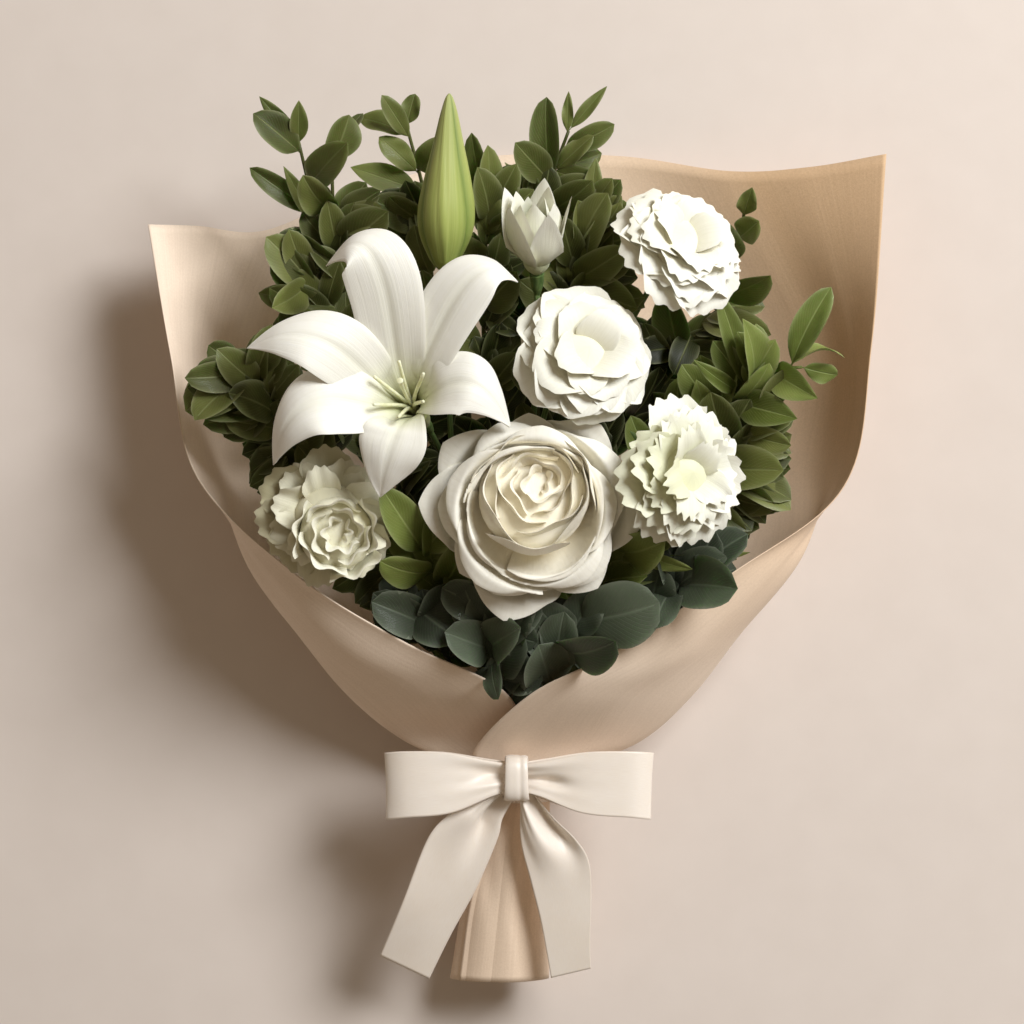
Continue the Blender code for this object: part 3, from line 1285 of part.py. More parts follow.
def head_balls():
    """Rough balls round the flower heads, for other stems to pass under."""
    lily_axis = Vector(LILY_THROAT) - Vector(LILY_BASE)
    places = [("rose_bloom", ROSE_BASE, ROSE_AXIS, 46.0, 30.0),
              ("lily_bloom", LILY_BASE, lily_axis, 24.0, 16.0),
              ("lily_bloom", LILY_BASE, lily_axis, 60.0, 34.0),
              ("rosebud_bloom", ROSEBUD_BASE, ROSEBUD_AXIS, 20.0, 18.0),
              ("lily_bud", LILY_BUD_BASE, (0.0, 1.0, 0.2), 30.0, 17.0)]
    for name, (base, axis, size, _, _) in RUFFLED.items():
        places.append((name, base, axis, 24.0 * size, 26.0 * size))
    return [(name, Vector(base) + Vector(axis).normalized() * reach, radius)
            for name, base, axis, reach, radius in places]


def bud_stalk(route):
    """The lily's second stalk, from its stem up to the closed bud."""
    root = spline(route, BUD_FORK)
    base, tip = Vector(LILY_BUD_BASE), Vector(LILY_BUD_TIP)
    axis = (tip - base).normalized()
    end = base - axis * NODE_GAP
    collar = end - axis * BUD_COLLAR
    middle = root.lerp(collar, 0.5) - Vector((0.0, 0.0, BUD_STALK_SAG))
    return tube([root, middle, collar, end], (1.5, 1.6, 1.8, 2.6), 0)


def flower_green(name, base, axis, size, route):
    """What is green about a flower: the pieces that stay, and its sepals."""
    if name == "lily_stem":
        cup = turned(((2.0, -15.0), (3.2, -6.0), (3.4, -NODE_GAP)), 8,
                     frame_at(Vector(base), axis))
        return [cup, bud_stalk(route)], []
    if name == "rosebud_stem":
        return calyx(base, axis, size, HUGGING_SEPAL, 4.0, 0.3)
    if name == "cream_stem":
        return calyx(base, axis, size, OPEN_SEPAL, 6.0, 0.5)
    return calyx(base, axis, size, DROOPING_SEPAL, 4.5, 0.5)


main()
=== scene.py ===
import json
import math
import random

import bpy
import numpy as np
from mathutils import Matrix, Vector
from mathutils.bvhtree import BVHTree

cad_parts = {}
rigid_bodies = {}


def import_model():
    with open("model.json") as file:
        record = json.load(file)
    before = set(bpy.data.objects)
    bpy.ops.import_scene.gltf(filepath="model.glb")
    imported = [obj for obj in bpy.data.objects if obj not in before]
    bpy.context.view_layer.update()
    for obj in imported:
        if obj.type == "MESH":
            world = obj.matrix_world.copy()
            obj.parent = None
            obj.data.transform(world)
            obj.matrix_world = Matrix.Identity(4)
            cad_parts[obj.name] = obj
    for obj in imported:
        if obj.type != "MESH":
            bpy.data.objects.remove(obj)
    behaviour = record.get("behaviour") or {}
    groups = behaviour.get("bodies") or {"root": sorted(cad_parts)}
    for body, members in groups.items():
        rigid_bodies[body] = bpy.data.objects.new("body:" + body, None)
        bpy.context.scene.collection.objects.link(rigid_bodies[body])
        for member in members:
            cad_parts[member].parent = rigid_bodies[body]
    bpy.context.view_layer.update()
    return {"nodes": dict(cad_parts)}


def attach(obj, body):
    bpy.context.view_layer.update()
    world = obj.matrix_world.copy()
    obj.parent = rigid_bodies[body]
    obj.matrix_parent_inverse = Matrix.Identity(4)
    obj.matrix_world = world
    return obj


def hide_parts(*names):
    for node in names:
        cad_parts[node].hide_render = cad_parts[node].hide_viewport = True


MM = 0.001
SEED = 41
SHARP_ANGLE = 70.0
UP = Vector((0.0, 0.0, 1.0))
WHITE = (1.0, 1.0, 1.0)
GOLDEN = math.pi * (3.0 - math.sqrt(5.0))

for start_object in list(bpy.data.objects):
    bpy.data.objects.remove(start_object, do_unlink=True)
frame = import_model()

# Wrap
PAPER_THICKNESS = 0.5
PAPER_FLOOR = 0.5 * PAPER_THICKNESS
NECK_CENTRE = Vector((2.0, -138.0, 34.0))
NECK_RADIUS = 17.6
OVERLAP_GROWTH = 2.4

# Stems
SLOT_SPACING = 4.45
CALYX_DEPTH = 12.0
STEM_CUT_END = -214.0
STEM_POINTS = 7
RELAX_STEPS = 300
RELAX_SMOOTHING = 0.06
RELAX_SAMPLES = 3
RELAX_PUSH = 0.4
ROD_CLEARANCE = 0.6
SPRAY_RADIUS = 1.75
FILL_START = 0.42
BUD_FORK = 0.72
BUD_STALK_SAG = 5.0
BUD_COLLAR = 8.0
NODE_GAP = 0.35
WRAP_CLEARANCE = 1.3
STEM_TINT = 0.2
STEM_STEPS = 56
NECK_REACH = (-12.0, 8.0)
CUT_SPREAD = 1.18
CUT_SHIFT = Vector((-5.0, STEM_CUT_END - NECK_CENTRE.y, -3.0))
CUT_UNEVEN = 5.0
TAPER_START = 0.35
SPRAY_TIP = 0.9
FLOWER_TIP = 1.6
BUD_STALK = (1.5, 1.6, 1.8, 2.6)
LEAF_FIT = 0.6
SEPAL_FIT = 2.0
WIDE_LEAF = 14.0

# Ribbon
RIBBON_WIDTH = 37.0
RIBBON_THICKNESS = 0.35

# Half thicknesses in the middle of a blade
PETAL_HALF = 0.3
ROSETTE_HALF = 0.28
FAN_HALF = 0.26
TEPAL_HALF = 0.45
SEPAL_HALF = 0.35
LEAF_HALF = 0.3
FILL_LEAF_HALF = 0.28


# Curves

def spline(points, t):
    """Points at t from 0 to 1 on a smooth curve through the given points."""
    points = np.asarray([tuple(p) for p in points], float)
    t = np.clip(np.asarray(t, float), 0.0, 1.0)
    line = np.vstack([2 * points[:1] - points[1:2], points, 2 * points[-1:] - points[-2:-1]])
    last = len(points) - 1
    place = t * last
    i = np.minimum(place.astype(int), last - 1)
    f = (place - i)[..., None]
    p0, p1, p2, p3 = (line[i + k] for k in range(4))
    return 0.5 * (2 * p1 + (p2 - p0) * f + (2 * p0 - 5 * p1 + 4 * p2 - p3) * f ** 2
                  + (3 * p1 - p0 - 3 * p2 + p3) * f ** 3)


def spline_open(points, t):
    """Like spline, but straight on past the end."""
    step = 0.02
    end, before = spline(points, 1.0), spline(points, 1.0 - step)
    beyond = np.maximum(np.asarray(t, float) - 1.0, 0.0)[..., None]
    return spline(points, t) + (end - before) * beyond / step


def values(numbers, t):
    """Numbers on a smooth curve, never below zero."""
    return np.maximum(spline([(v,) for v in numbers], t)[..., 0], 0.0)


def unit(vectors):
    """Vectors of length one."""
    return vectors / np.maximum(np.linalg.norm(vectors, axis=-1, keepdims=True), 1e-9)


def heading(points, s):
    """The way a curve runs at s."""
    step = 0.01
    return unit(spline(points, np.minimum(s + step, 1)) - spline(points, np.maximum(s - step, 0)))


def beside(points, s, across, x, up, z):
    """Places x beside a curve and z above it."""
    return spline(points, s) + across * x[..., None] + up * z[..., None]


def grid_of(rows, columns):
    """s from 0 to 1 down the rows and u from -1 to 1 across."""
    return np.meshgrid(np.linspace(0, 1, rows + 1), np.linspace(-1, 1, columns + 1),
                       indexing="ij")


# Meshes

class Piece:
    """Vertices and faces of one piece, gathered blade by blade.

    Each vertex has a place on its blade, across and along, and its blade's tint. Each face
    says whether it is on the under side."""

    def __init__(self):
        self.parts = []
        self.count = 0

    def add(self, verts, faces, places, tint, under=0.0):
        self.parts.append((verts, faces + self.count, places,
                           np.broadcast_to(tint, len(verts)),
                           np.broadcast_to(under, len(faces))))
        self.count += len(verts)

    def blade(self, grid, half, tint=0.5):
        """A closed blade, thickest inside, whose two faces meet at its rim."""
        along, across = np.gradient(grid, axis=0), np.gradient(grid, axis=1)
        normal = unit(np.cross(across, along)) * half
        inner = np.zeros(grid.shape[:2], bool)
        inner[1:-1, 1:-1] = True
        top, places = numbered(grid)
        bottom = top.copy()
        bottom[inner] = top.size + np.arange(inner.sum())
        self.add(np.vstack([(grid + normal * inner[..., None]).reshape(-1, 3),
                            (grid - normal)[inner]]),
                 np.vstack([quads(top), quads(bottom)[:, ::-1]]),
                 np.vstack([places.reshape(-1, 2), places[inner]]), tint,
                 np.repeat([0.0, 1.0], len(quads(top))))

    def skin(self, grid, tint=0.5):
        """An open sheet."""
        index, places = numbered(grid)
        self.add(grid.reshape(-1, 3), quads(index), places.reshape(-1, 2), tint)

    def tube(self, rings, ends, tint=0.5):
        """A closed skin over rings of points, drawn to one point at each end."""
        rows, sides = rings.shape[:2]
        index = np.arange(rows * sides).reshape(rows, sides)
        wrapped = np.concatenate([index, index[:, :1]], axis=1)
        first, last = wrapped[0], wrapped[-1]
        low, high = np.full(sides, rows * sides), np.full(sides, rows * sides + 1)
        faces = [quads(wrapped), np.stack([first[1:], first[:-1], low, low], axis=1),
                 np.stack([last[:-1], last[1:], high, high], axis=1)]
        along = np.repeat(np.linspace(0, 1, rows), sides)
        around = np.tile(np.arange(sides) / sides, rows)
        self.add(np.vstack([rings.reshape(-1, 3), ends]), np.vstack(faces),
                 np.vstack([np.stack([around, along], axis=-1), [(0.5, 0.0), (0.5, 1.0)]]), tint)

    def rod(self, points, radii, tint=0.5, sides=10):
        """A round rod along the points, with domed ends."""
        dome = 0.4
        ahead = unit(np.gradient(points, axis=0))
        side = np.cross(ahead[0], UP)
        if np.linalg.norm(side) < 0.2:
            side = np.array((1.0, 0.0, 0.0))
        turn = np.arange(sides) * 2 * math.pi / sides
        rings = []
        for point, way, radius in zip(points, ahead, radii):
            side = side - way * side.dot(way)
            side /= np.linalg.norm(side)
            over = np.cross(way, side)
            rings.append(point + radius * (np.cos(turn)[:, None] * side
                                           + np.sin(turn)[:, None] * over))
        self.tube(np.array(rings), [points[0] - ahead[0] * radii[0] * dome,
                                    points[-1] + ahead[-1] * radii[-1] * dome], tint)

    def turned(self, profile, matrix, tint=0.5, sides=16, rows=16):
        """A smooth solid turned from (radius, height) pairs."""
        line = spline(profile, np.linspace(0, 1, rows + 1))
        line[:, 0] = np.maximum(line[:, 0], 0.02)
        turn = np.arange(sides) * 2 * math.pi / sides
        ends = np.array([(0.0, 0.0, line[0, 1]), (0.0, 0.0, line[-1, 1])])
        self.tube(placed(round_the_axis(line[:, :1], turn, line[:, 1:]), matrix),
                  placed(ends, matrix), tint)

    def build(self, name, finish, slot, node, sharp=SHARP_ANGLE):
        """The piece as an object that rides on the root body and stands for a node."""
        verts, faces, places, tints, under = (np.concatenate(rows) for rows in zip(*self.parts))
        sizes = np.where(faces[:, 2] == faces[:, 3], 3, 4)
        corners = np.concatenate([row[:size] for row, size in zip(faces, sizes)])
        mesh = bpy.data.meshes.new(name)
        mesh.vertices.add(len(verts))
        mesh.vertices.foreach_set("co", (verts * MM).ravel())
        mesh.loops.add(len(corners))
        mesh.loops.foreach_set("vertex_index", corners)
        mesh.polygons.add(len(faces))
        starts = np.concatenate([[0], np.cumsum(sizes)[:-1]])
        mesh.polygons.foreach_set("loop_start", starts)
        mesh.update(calc_edges=True)
        mesh.validate()
        mesh.uv_layers.new(name="place").data.foreach_set("uv", places[corners].ravel())
        for label, domain, numbers in (("tint", "POINT", tints), ("under", "FACE", under)):
            mesh.attributes.new(label, "FLOAT", domain).data.foreach_set("value", numbers)
        mesh.shade_smooth()
        mesh.set_sharp_from_angle(angle=math.radians(sharp))
        mesh.materials.append(finish)
        obj = set_down(name, mesh)
        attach(obj, "root")
        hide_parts(node)
        return obj


def quads(index):
    """Four-cornered faces of a grid of vertex numbers."""
    return np.stack([index[:-1, :-1], index[:-1, 1:], index[1:, 1:], index[1:, :-1]],
                    axis=-1).reshape(-1, 4)


def numbered(grid):
    """Number of each point of a grid, and its place across and along."""
    rows, columns = grid.shape[:2]
    s, u = grid_of(rows - 1, columns - 1)
    return np.arange(s.size).reshape(s.shape), np.stack([0.5 + 0.5 * u, s], axis=-1)


def round_the_axis(radius, turn, height):
    """Points at a radius, an angle and a height."""
    x, y = radius * np.cos(turn), radius * np.sin(turn)
    return np.stack([x, y, np.broadcast_to(height, x.shape)], axis=-1)


def placed(local, matrix):
    """Points of a frame as points of the model."""
    turn = np.array(matrix.to_3x3())
    return local @ turn.T + np.array(matrix.translation)


def frame_at(place, axis, spin=0.0):
    """Axes with Z along the given direction, standing at the place."""
    up = Vector(axis).normalized()
    right = Vector((1.0, 0.0, 0.0))
    right = (right - up * right.dot(up)).normalized()
    ahead = up.cross(right)
    turn = Matrix((right, ahead, up)).transposed().to_4x4()
    return Matrix.Translation(place) @ turn @ Matrix.Rotation(spin, 4, "Z")


def thicken(obj, thickness):
    """Give a sheet its thickness, half to each side."""
    solid = obj.modifiers.new("thickness", "SOLIDIFY")
    solid.thickness = thickness * MM
    solid.offset = 0.0


def joined_tree(names):
    """One search tree of some of the solids, in millimetres."""
    verts, faces = [], []
    for name in names:
        mesh = frame["nodes"][name].data
        first = len(verts)
        verts += [vert.co / MM for vert in mesh.vertices]
        faces += [tuple(first + v for v in p.vertices) for p in mesh.polygons]
    return BVHTree.FromPolygons(verts, faces)


# Materials

class Wire:
    """A value in a material, for sums that read like sums of numbers."""

    def __init__(self, nodes, socket):
        self.nodes, self.socket = nodes, socket

    def __rsub__(self, other):
        return self.nodes.math("SUBTRACT", other, self)


def wire_sum(operation):
    """How a wire takes part in a sum."""
    return lambda wire, *others: wire.nodes.math(operation, wire, *others)


for method, operation in (("__add__", "ADD"), ("__sub__", "SUBTRACT"), ("__mul__", "MULTIPLY"),
                          ("__pow__", "POWER"), ("__abs__", "ABSOLUTE"), ("sine", "SINE"),
                          ("at_least", "MAXIMUM"), ("above", "GREATER_THAN")):
    setattr(Wire, method, wire_sum(operation))


class Nodes:
    """A short way to write a material's nodes."""

    def __init__(self, name, roughness, specular=0.5, sheen=0.0, subsurface=0.0,
                 radius=(1.0, 0.8, 0.5), coat=0.0, anisotropic=0.0):
        self.material = bpy.data.materials.new(name)
        self.material.use_nodes = True
        self.tree = self.material.node_tree
        self.shader = self.tree.nodes["Principled BSDF"]
        for key, value in {"Roughness": roughness, "Specular IOR Level": specular,
                           "Sheen Weight": sheen, "Subsurface Weight": subsurface,
                           "Subsurface Radius": radius, "Subsurface Scale": 0.004,
                           "Coat Weight": coat, "Anisotropic": anisotropic}.items():
            self.shader.inputs[key].default_value = value

    def node(self, kind, **settings):
        made = self.tree.nodes.new("ShaderNode" + kind)
        for key, value in settings.items():
            setattr(made, key, value)
        return made

    def feed(self, socket, value):
        """Join a wire to a socket, or give the socket a number or a colour."""
        if isinstance(value, Wire):
            self.tree.links.new(value.socket, socket)
        else:
            socket.default_value = (*value, 1.0) if isinstance(value, tuple) else value

    def math(self, operation, *values):
        made = self.node("Math", operation=operation)
        for socket, value in zip(made.inputs, values):
            self.feed(socket, value)
        return Wire(self, made.outputs[0])

    def uv(self):
        return Wire(self, self.node("UVMap", uv_map="place").outputs[0])

    def place(self):
        """Across and along the blade, each from 0 to 1."""
        parts = self.node("SeparateXYZ")
        self.feed(parts.inputs[0], self.uv())
        return Wire(self, parts.outputs[0]), Wire(self, parts.outputs[1])

    def number(self, name):
        """The blade's own tint, or 1 on its under side."""
        return Wire(self, self.node("Attribute", attribute_name=name).outputs["Fac"])

    def noise(self, scale, detail=3.0, roughness=0.5, stretch=None):
        """Noise in the model's own metres, or streaks in a blade's stretched place."""
        if stretch:
            mapping = self.node("Mapping")
            mapping.inputs["Scale"].default_value = (*stretch, 1.0)
            self.feed(mapping.inputs["Vector"], self.uv())
            source = mapping.outputs[0]
        else:
            source = self.node("TexCoord").outputs["Object"]
        made = self.node("TexNoise")
        for key, value in (("Vector", Wire(self, source)), ("Scale", scale),
                           ("Detail", detail), ("Roughness", roughness)):
            self.feed(made.inputs[key], value)
        return Wire(self, made.outputs["Fac"])

    def streaks(self, across, along, detail=3.0, roughness=0.5):
        """Fine lines along a blade."""
        return self.noise(1.0, detail, roughness, (across, along))

    def ramp(self, factor, *stops):
        """Colours along a factor; each stop is (place, colour)."""
        made = self.node("ValToRGB")
        points = made.color_ramp.elements
        while len(points) < len(stops):
            points.new(0.5)
        for point, (place, colour) in zip(points, stops):
            point.position = place
            point.color = (*colour, 1.0)
        self.feed(made.inputs[0], factor)
        return Wire(self, made.outputs[0])

    def mix(self, factor, a, b, blend="MIX"):
        made = self.node("Mix", data_type="RGBA", blend_type=blend)
        for number, value in ((0, factor), (6, a), (7, b)):
            self.feed(made.inputs[number], value)
        return Wire(self, made.outputs[2])

    def finish(self, colour, height=None, strength=0.0, distance=0.0, roughness=None):
        """The material, with its colour, bumps of a height in metres, and roughness."""
        self.feed(self.shader.inputs["Base Color"], colour)
        if roughness:
            self.feed(self.shader.inputs["Roughness"], roughness)
        if height:
            bump = self.node("Bump")
            for key, value in (("Height", height), ("Strength", strength),
                               ("Distance", distance)):
                self.feed(bump.inputs[key], value)
            self.feed(self.shader.inputs["Normal"], Wire(self, bump.outputs[0]))
        return self.material


def petal_finish(name, base, heart, rim, vein=0.5, heart_end=0.35, groove=0.0):
    """A soft petal: its heart colour near the root and in its groove, fine veins along it."""
    nodes = Nodes(name, 0.5, 0.3, sheen=0.1, subsurface=0.12, radius=(1.0, 0.9, 0.7))
    across, along = nodes.place()
    colour = nodes.ramp(along, (0.0, heart), (heart_end, base), (1.0, rim))
    # The blade's tint draws it towards the heart colour; in the ruffled blooms it also carries
    # painted shade.
    colour = nodes.mix(nodes.number("tint"), colour, heart)
    if groove:
        near = (1.0 - abs(across - 0.5) * 5.0).at_least(0.0) * (1.0 - along)
        colour = nodes.mix(near * groove, colour, heart)
    veins = nodes.streaks(34.0, 2.2, 4.0, 0.6)
    shade = nodes.ramp(veins, (0.35, (0.93, 0.92, 0.88)), (0.65, WHITE))
    return nodes.finish(nodes.mix(vein, colour, shade, "MULTIPLY"),
                        veins + nodes.noise(160.0) * 0.5, 0.35, 0.0006)


def leaf_finish(name, dark, light, rib, back, gloss=0.5):
    """A leaf: paler midrib, side veins and under side, mottled between them."""
    nodes = Nodes(name, gloss, 0.3, subsurface=0.08, radius=(0.3, 1.0, 0.2), coat=0.02)
    across, along = nodes.place()
    mottle = nodes.noise(70.0, 4.0)
    # The blade's tint sets its tone between dark and light; for the leaves between the heads it
    # holds painted shade and light by height.
    colour = nodes.ramp(nodes.number("tint") * 0.8 + mottle * 0.45 - 0.1,
                        (0.0, dark), (1.0, light))
    off_rib = abs(across - 0.5)
    midrib = (1.0 - off_rib * 22.0).at_least(0.0)
    lean = along * 15.0 + off_rib * -13.0
    side_veins = (1.0 - abs((lean * math.pi).sine())) ** 6.0
    lines = midrib.at_least(side_veins * 0.35)
    pale = (nodes.number("under") * 0.75).at_least((off_rib * 2.0) ** 8.0 * 0.5)
    colour = nodes.mix(lines * 0.5, nodes.mix(pale, colour, back), rib)
    return nodes.finish(colour, mottle * 0.5 - lines, 0.5, 0.0005, mottle * 0.2 + (gloss - 0.1))


def plain_finish(name, dark, light, grain, bump, *settings, **more):
    """A skin of two close colours: streaked if its grain names two ways, or mottled."""
    nodes = Nodes(name, *settings, **more)
    pattern = nodes.streaks(*grain) if len(grain) == 3 else nodes.noise(*grain)
    return nodes.finish(nodes.ramp(pattern, (0.3, dark), (0.7, light)), bump and pattern, *bump)


def bud_finish():
    """The lily bud's green skin, darker in its seams."""
    nodes = Nodes("bud_skin", 0.48, 0.35, subsurface=0.12)
    _, along = nodes.place()
    streak = nodes.streaks(60.0, 1.5, 4.0)
    skin = nodes.ramp(along, (0.0, (0.33, 0.40, 0.10)), (0.5, (0.46, 0.50, 0.16)),
                      (1.0, (0.46, 0.49, 0.20)))
    shade = nodes.ramp(streak, (0.3, (0.80, 0.85, 0.70)), (0.7, WHITE))
    seam = (1.0 - nodes.number("tint")) ** 2.0
    colour = nodes.mix(seam * 0.8, nodes.mix(1.0, skin, shade, "MULTIPLY"), (0.13, 0.20, 0.04))
    return nodes.finish(colour, streak, 0.4, 0.0006)


def kraft_finish():
    """Kraft paper: fibres, faint calender streaks and, by the tint, a darker warmer ochre painted
    as shade.
    """
    nodes = Nodes("kraft_sheet", 0.82, 0.25, sheen=0.1)
    fibre = nodes.noise(900.0, 5.0, 0.7)
    streak = nodes.streaks(150.0, 5.0)
    outside = nodes.ramp(fibre, (0.25, (0.87, 0.71, 0.57)), (0.75, (0.97, 0.81, 0.66)))
    # Painted shade: a darker, warmer ochre for the inside of the right panel, which faces away
    # from the lamp.
    inside = nodes.ramp(fibre, (0.25, (0.56, 0.345, 0.165)), (0.75, (0.72, 0.46, 0.235)))
    worn = nodes.ramp(streak * 0.5 + nodes.noise(18.0) * 0.5,
                      (0.3, (0.90, 0.89, 0.87)), (0.7, WHITE))
    sheet = nodes.mix(nodes.number("tint"), outside, inside)
    return nodes.finish(nodes.mix(1.0, sheet, worn, "MULTIPLY"), fibre + streak, 0.3, 0.0003,
                        fibre * 0.15 + 0.72)


def satin_finish():
    """Cream satin: a close weave, selvedges and a soft shine."""
    nodes = Nodes("satin_cloth", 0.36, sheen=0.3, subsurface=0.08, radius=(1.0, 0.75, 0.5),
                  anisotropic=0.5)
    across, _ = nodes.place()
    threads = nodes.streaks(160.0, 30.0, 2.0)
    hem = abs(across - 0.5).above(0.472)
    colour = nodes.ramp(threads * 0.5 + nodes.noise(40.0) * 0.5,
                        (0.25, (0.82, 0.72, 0.61)), (0.75, (0.90, 0.82, 0.73)))
    return nodes.finish(nodes.mix(hem * 0.22, colour, (0.60, 0.48, 0.37)),
                        (across * 420.0).sine() * 0.25 + (threads + hem * 1.2), 0.12, 0.0002,
                        threads * 0.16 + 0.30)


# The paper wrap

LAP_END = 24.0
SKIRT_GROWTH = 1.2
# Guide points of the open sheet, from its left free edge to its right one, station by station.
WRAP_OPEN = (
    ((8, -108, 49), (-34, -110, 43), (-61, -111, 35), (-38, -106, 19), (2, -106, 13),
     (44, -106, 19), (71, -112, 36), (44, -112, 57), (-22, -116, 63)),
    ((-6, -78, 91), (-60, -80, 79), (-94, -83, 47), (-60, -78, 16), (2, -76, 8),
     (66, -78, 16), (102, -84, 47), (64, -82, 83), (10, -81, 96)),
    ((-60, -51, 104), (-98, -55, 87), (-119, -50, 51), (-78, -44, 12), (0, -42, 3),
     (84, -44, 12), (128, -48, 53), (102, -56, 88), (56, -57, 104)),
    ((-118, -15, 104), (-139, -11, 85), (-147, -6, 57), (-100, 2, 7), (0, 6, -2),
     (108, 2, 7), (160, -3, 60), (150, -9, 86), (119, -15, 104)),
    ((-174, 38, 82), (-170, 40, 62), (-156, 44, 34), (-108, 50, 4), (0, 54, -1.5),
     (112, 50, 4), (167, 44, 36), (181, 37, 62), (183, 33, 86)),
    ((-190, 106, 71), (-182, 108, 50), (-163, 112, 28), (-110, 116, 3), (0, 120, -1),
     (114, 116, 3), (172, 112, 32), (191, 111, 57), (199, 110, 79)),
    ((-204, 180, 60), (-178, 181, 42), (-142, 180, 25), (-92, 202, 10),
     (-20, 224, 5), (60, 225, 7), (124, 214, 26), (168, 214, 45), (209, 219, 65)),
)
# Folds in the skirt's front: x, y, depth, width, height.
SKIRT_FOLDS = ((5.5, -193.0, 2.6, 5.0, 26.0), (-12.5, -188.0, 1.8, 5.0, 20.0))
PAPER_ROWS = 150
PAPER_COLUMNS = 160
NECK_STATION = 0.25
PLEAT_REACH = 0.085
PLEAT_HEIGHT = 0.55
SKIRT_TINT = 0.22
# Painted shade: how much of the darker ochre the inside of the right panel takes.
RIGHT_INSIDE_PAINTED_SHADE = 0.78


def ring_station(centre, across, high, growth=OVERLAP_GROWTH, lap=0.0):
    """Guide points of the wrap where it is rolled into a tube, edges lapped."""
    points = []
    angles = (55.0, 112.0, 168.0, 222.0, 270.0, 318.0, 372.0, 424.0 + 0.5 * lap, 478.0 + lap)
    for place, degrees in enumerate(angles):
        turn = math.radians(degrees)
        grow = growth * place / (len(angles) - 1)
        points.append(centre + Vector(((across + grow) * math.cos(turn), 0.0,
                                       (high + grow) * math.sin(turn))))
    return points


def wrap_stations():
    """Sections of the sheet from the cut end of the skirt to its far edge."""
    skirt = [ring_station(Vector(centre), across, high, SKIRT_GROWTH, LAP_END)
             for centre, across, high in (((-7.5, -247.0, 27.0), 27.5, 17.0),
                                          ((-3.0, -196.0, 32.0), 23.5, 19.0))]
    neck = [ring_station(NECK_CENTRE + Vector(offset), NECK_RADIUS, NECK_RADIUS)
            for offset in ((0.0, -9.0, 0.0), (0.0, 7.0, 0.5))]
    return [*skirt, *neck, *WRAP_OPEN]


def build_paper():
    """One sheet of kraft paper, rolled into a cone and pinched at the neck."""
    along = np.linspace(0, 1, PAPER_ROWS + 1)
    around = np.linspace(0, 1, PAPER_COLUMNS + 1)
    lines = np.array([spline(guides, around) for guides in wrap_stations()])
    grid = np.stack([spline(lines[:, k], along) for k in range(PAPER_COLUMNS + 1)], axis=1)
    normal = unit(np.cross(np.gradient(grid, axis=1), np.gradient(grid, axis=0)))
    s, t = np.meshgrid(along, around, indexing="ij")
    neck = np.exp(-((s - NECK_STATION) / PLEAT_REACH) ** 2)
    pleats = neck * (0.55 * np.sin(2 * math.pi * 19 * t + 3.0 * s)
                     + 0.30 * np.sin(2 * math.pi * 31 * t + 1.0 - 4.0 * s))
    drift = 0.5 * np.sin(9.0 * t + 14.0 * s) * np.sin(5.0 * s + 2.0) * (s > 0.3) * (s - 0.3)
    grid = grid + normal * (pleats * PLEAT_HEIGHT + drift)[..., None]
    front = grid[..., 2] > NECK_CENTRE.z
    for x, y, deep, wide, tall in SKIRT_FOLDS:
        fold = deep * np.exp(-((grid[..., 0] - x) / wide) ** 2 - ((grid[..., 1] - y) / tall) ** 2)
        grid[..., 2] -= fold * front
    grid[..., 2] = np.maximum(grid[..., 2], PAPER_FLOOR)
    # Painted shade: the inside of the right panel, beyond the middle of the sheet, takes the
    # darker ochre; the skirt below the neck takes a little of it too.
    inner = np.clip((s - 0.55) * 3.0, 0, 1) * np.clip((t - 0.45) * 3.0, 0, 1)
    skirt = SKIRT_TINT * np.clip((0.32 - s) * 8.0, 0, 1)
    piece = Piece()
    piece.skin(grid, (skirt + RIGHT_INSIDE_PAINTED_SHADE * inner).ravel())
    thicken(piece.build("paper_wrap", kraft_finish(), "kraft_paper", "kraft_paper", 50.0),
            PAPER_THICKNESS)


# Blade shapes

def beta_outline(rise, fall):
    """Half-width from 0 to 1 and back, widest nearer the root when rise is small."""
    peak = rise / (rise + fall)
    top = peak ** rise * (1.0 - peak) ** fall

    def half_width(x):
        x = np.clip(x, 0.0, 1.0)
        return x ** rise * (1.0 - x) ** fall / top
    return half_width


OUTLINES = {
    "ovate": beta_outline(0.60, 0.85),
    "lance": beta_outline(0.75, 0.95),
    "round": beta_outline(0.45, 0.50),
    "strap": beta_outline(0.30, 0.55),
    "full": beta_outline(0.66, 0.62),
}


def leaf_points(spec, root, way, s, u, size=1.0, wave=0.0, twist=0.0):
    """Middle surface of a leaf that arches from its root along the way to its tip."""
    petiole, stalk = 0.10, 0.06
    root, way = np.array(root, float), np.array(way, float)
    span = np.linalg.norm(way)
    ahead = way / span
    face = np.array(spec["face"], float)
    normal = unit(face - ahead * face.dot(ahead))
    side = np.cross(ahead, normal)
    turn = spec["bend"] if abs(spec["bend"]) > 0.02 else 0.02
    arc = span * 0.5 * turn / math.sin(0.5 * turn)
    angle = turn * (0.5 - s)
    along = arc / turn * (math.sin(0.5 * turn) - np.sin(angle))
    rise = arc / turn * (np.cos(angle) - math.cos(0.5 * turn))
    up = normal * np.cos(angle)[..., None] - ahead * np.sin(angle)[..., None]
    blade = np.where(s > petiole, OUTLINES[spec["outline"]]((s - petiole) / (1 - petiole)), 0.0)
    half = 0.5 * spec["width"] * size * (stalk * (1 - s) + (1 - stalk) * blade)
    half = np.maximum(half, 0.12)
    fold = spec["fold"]
    ripple = wave * np.sin(9.0 * s + 2.5 * u) * u * u * blade
    over = np.sqrt(u * u + 0.004) * half * math.sin(fold) + ripple
    roll = twist * s
    x = u * half * math.cos(fold)
    flat, high = x * np.cos(roll) - over * np.sin(roll), x * np.sin(roll) + over * np.cos(roll)
    return (root + ahead * along[..., None] + normal * rise[..., None]
            + side * flat[..., None] + up * high[..., None])


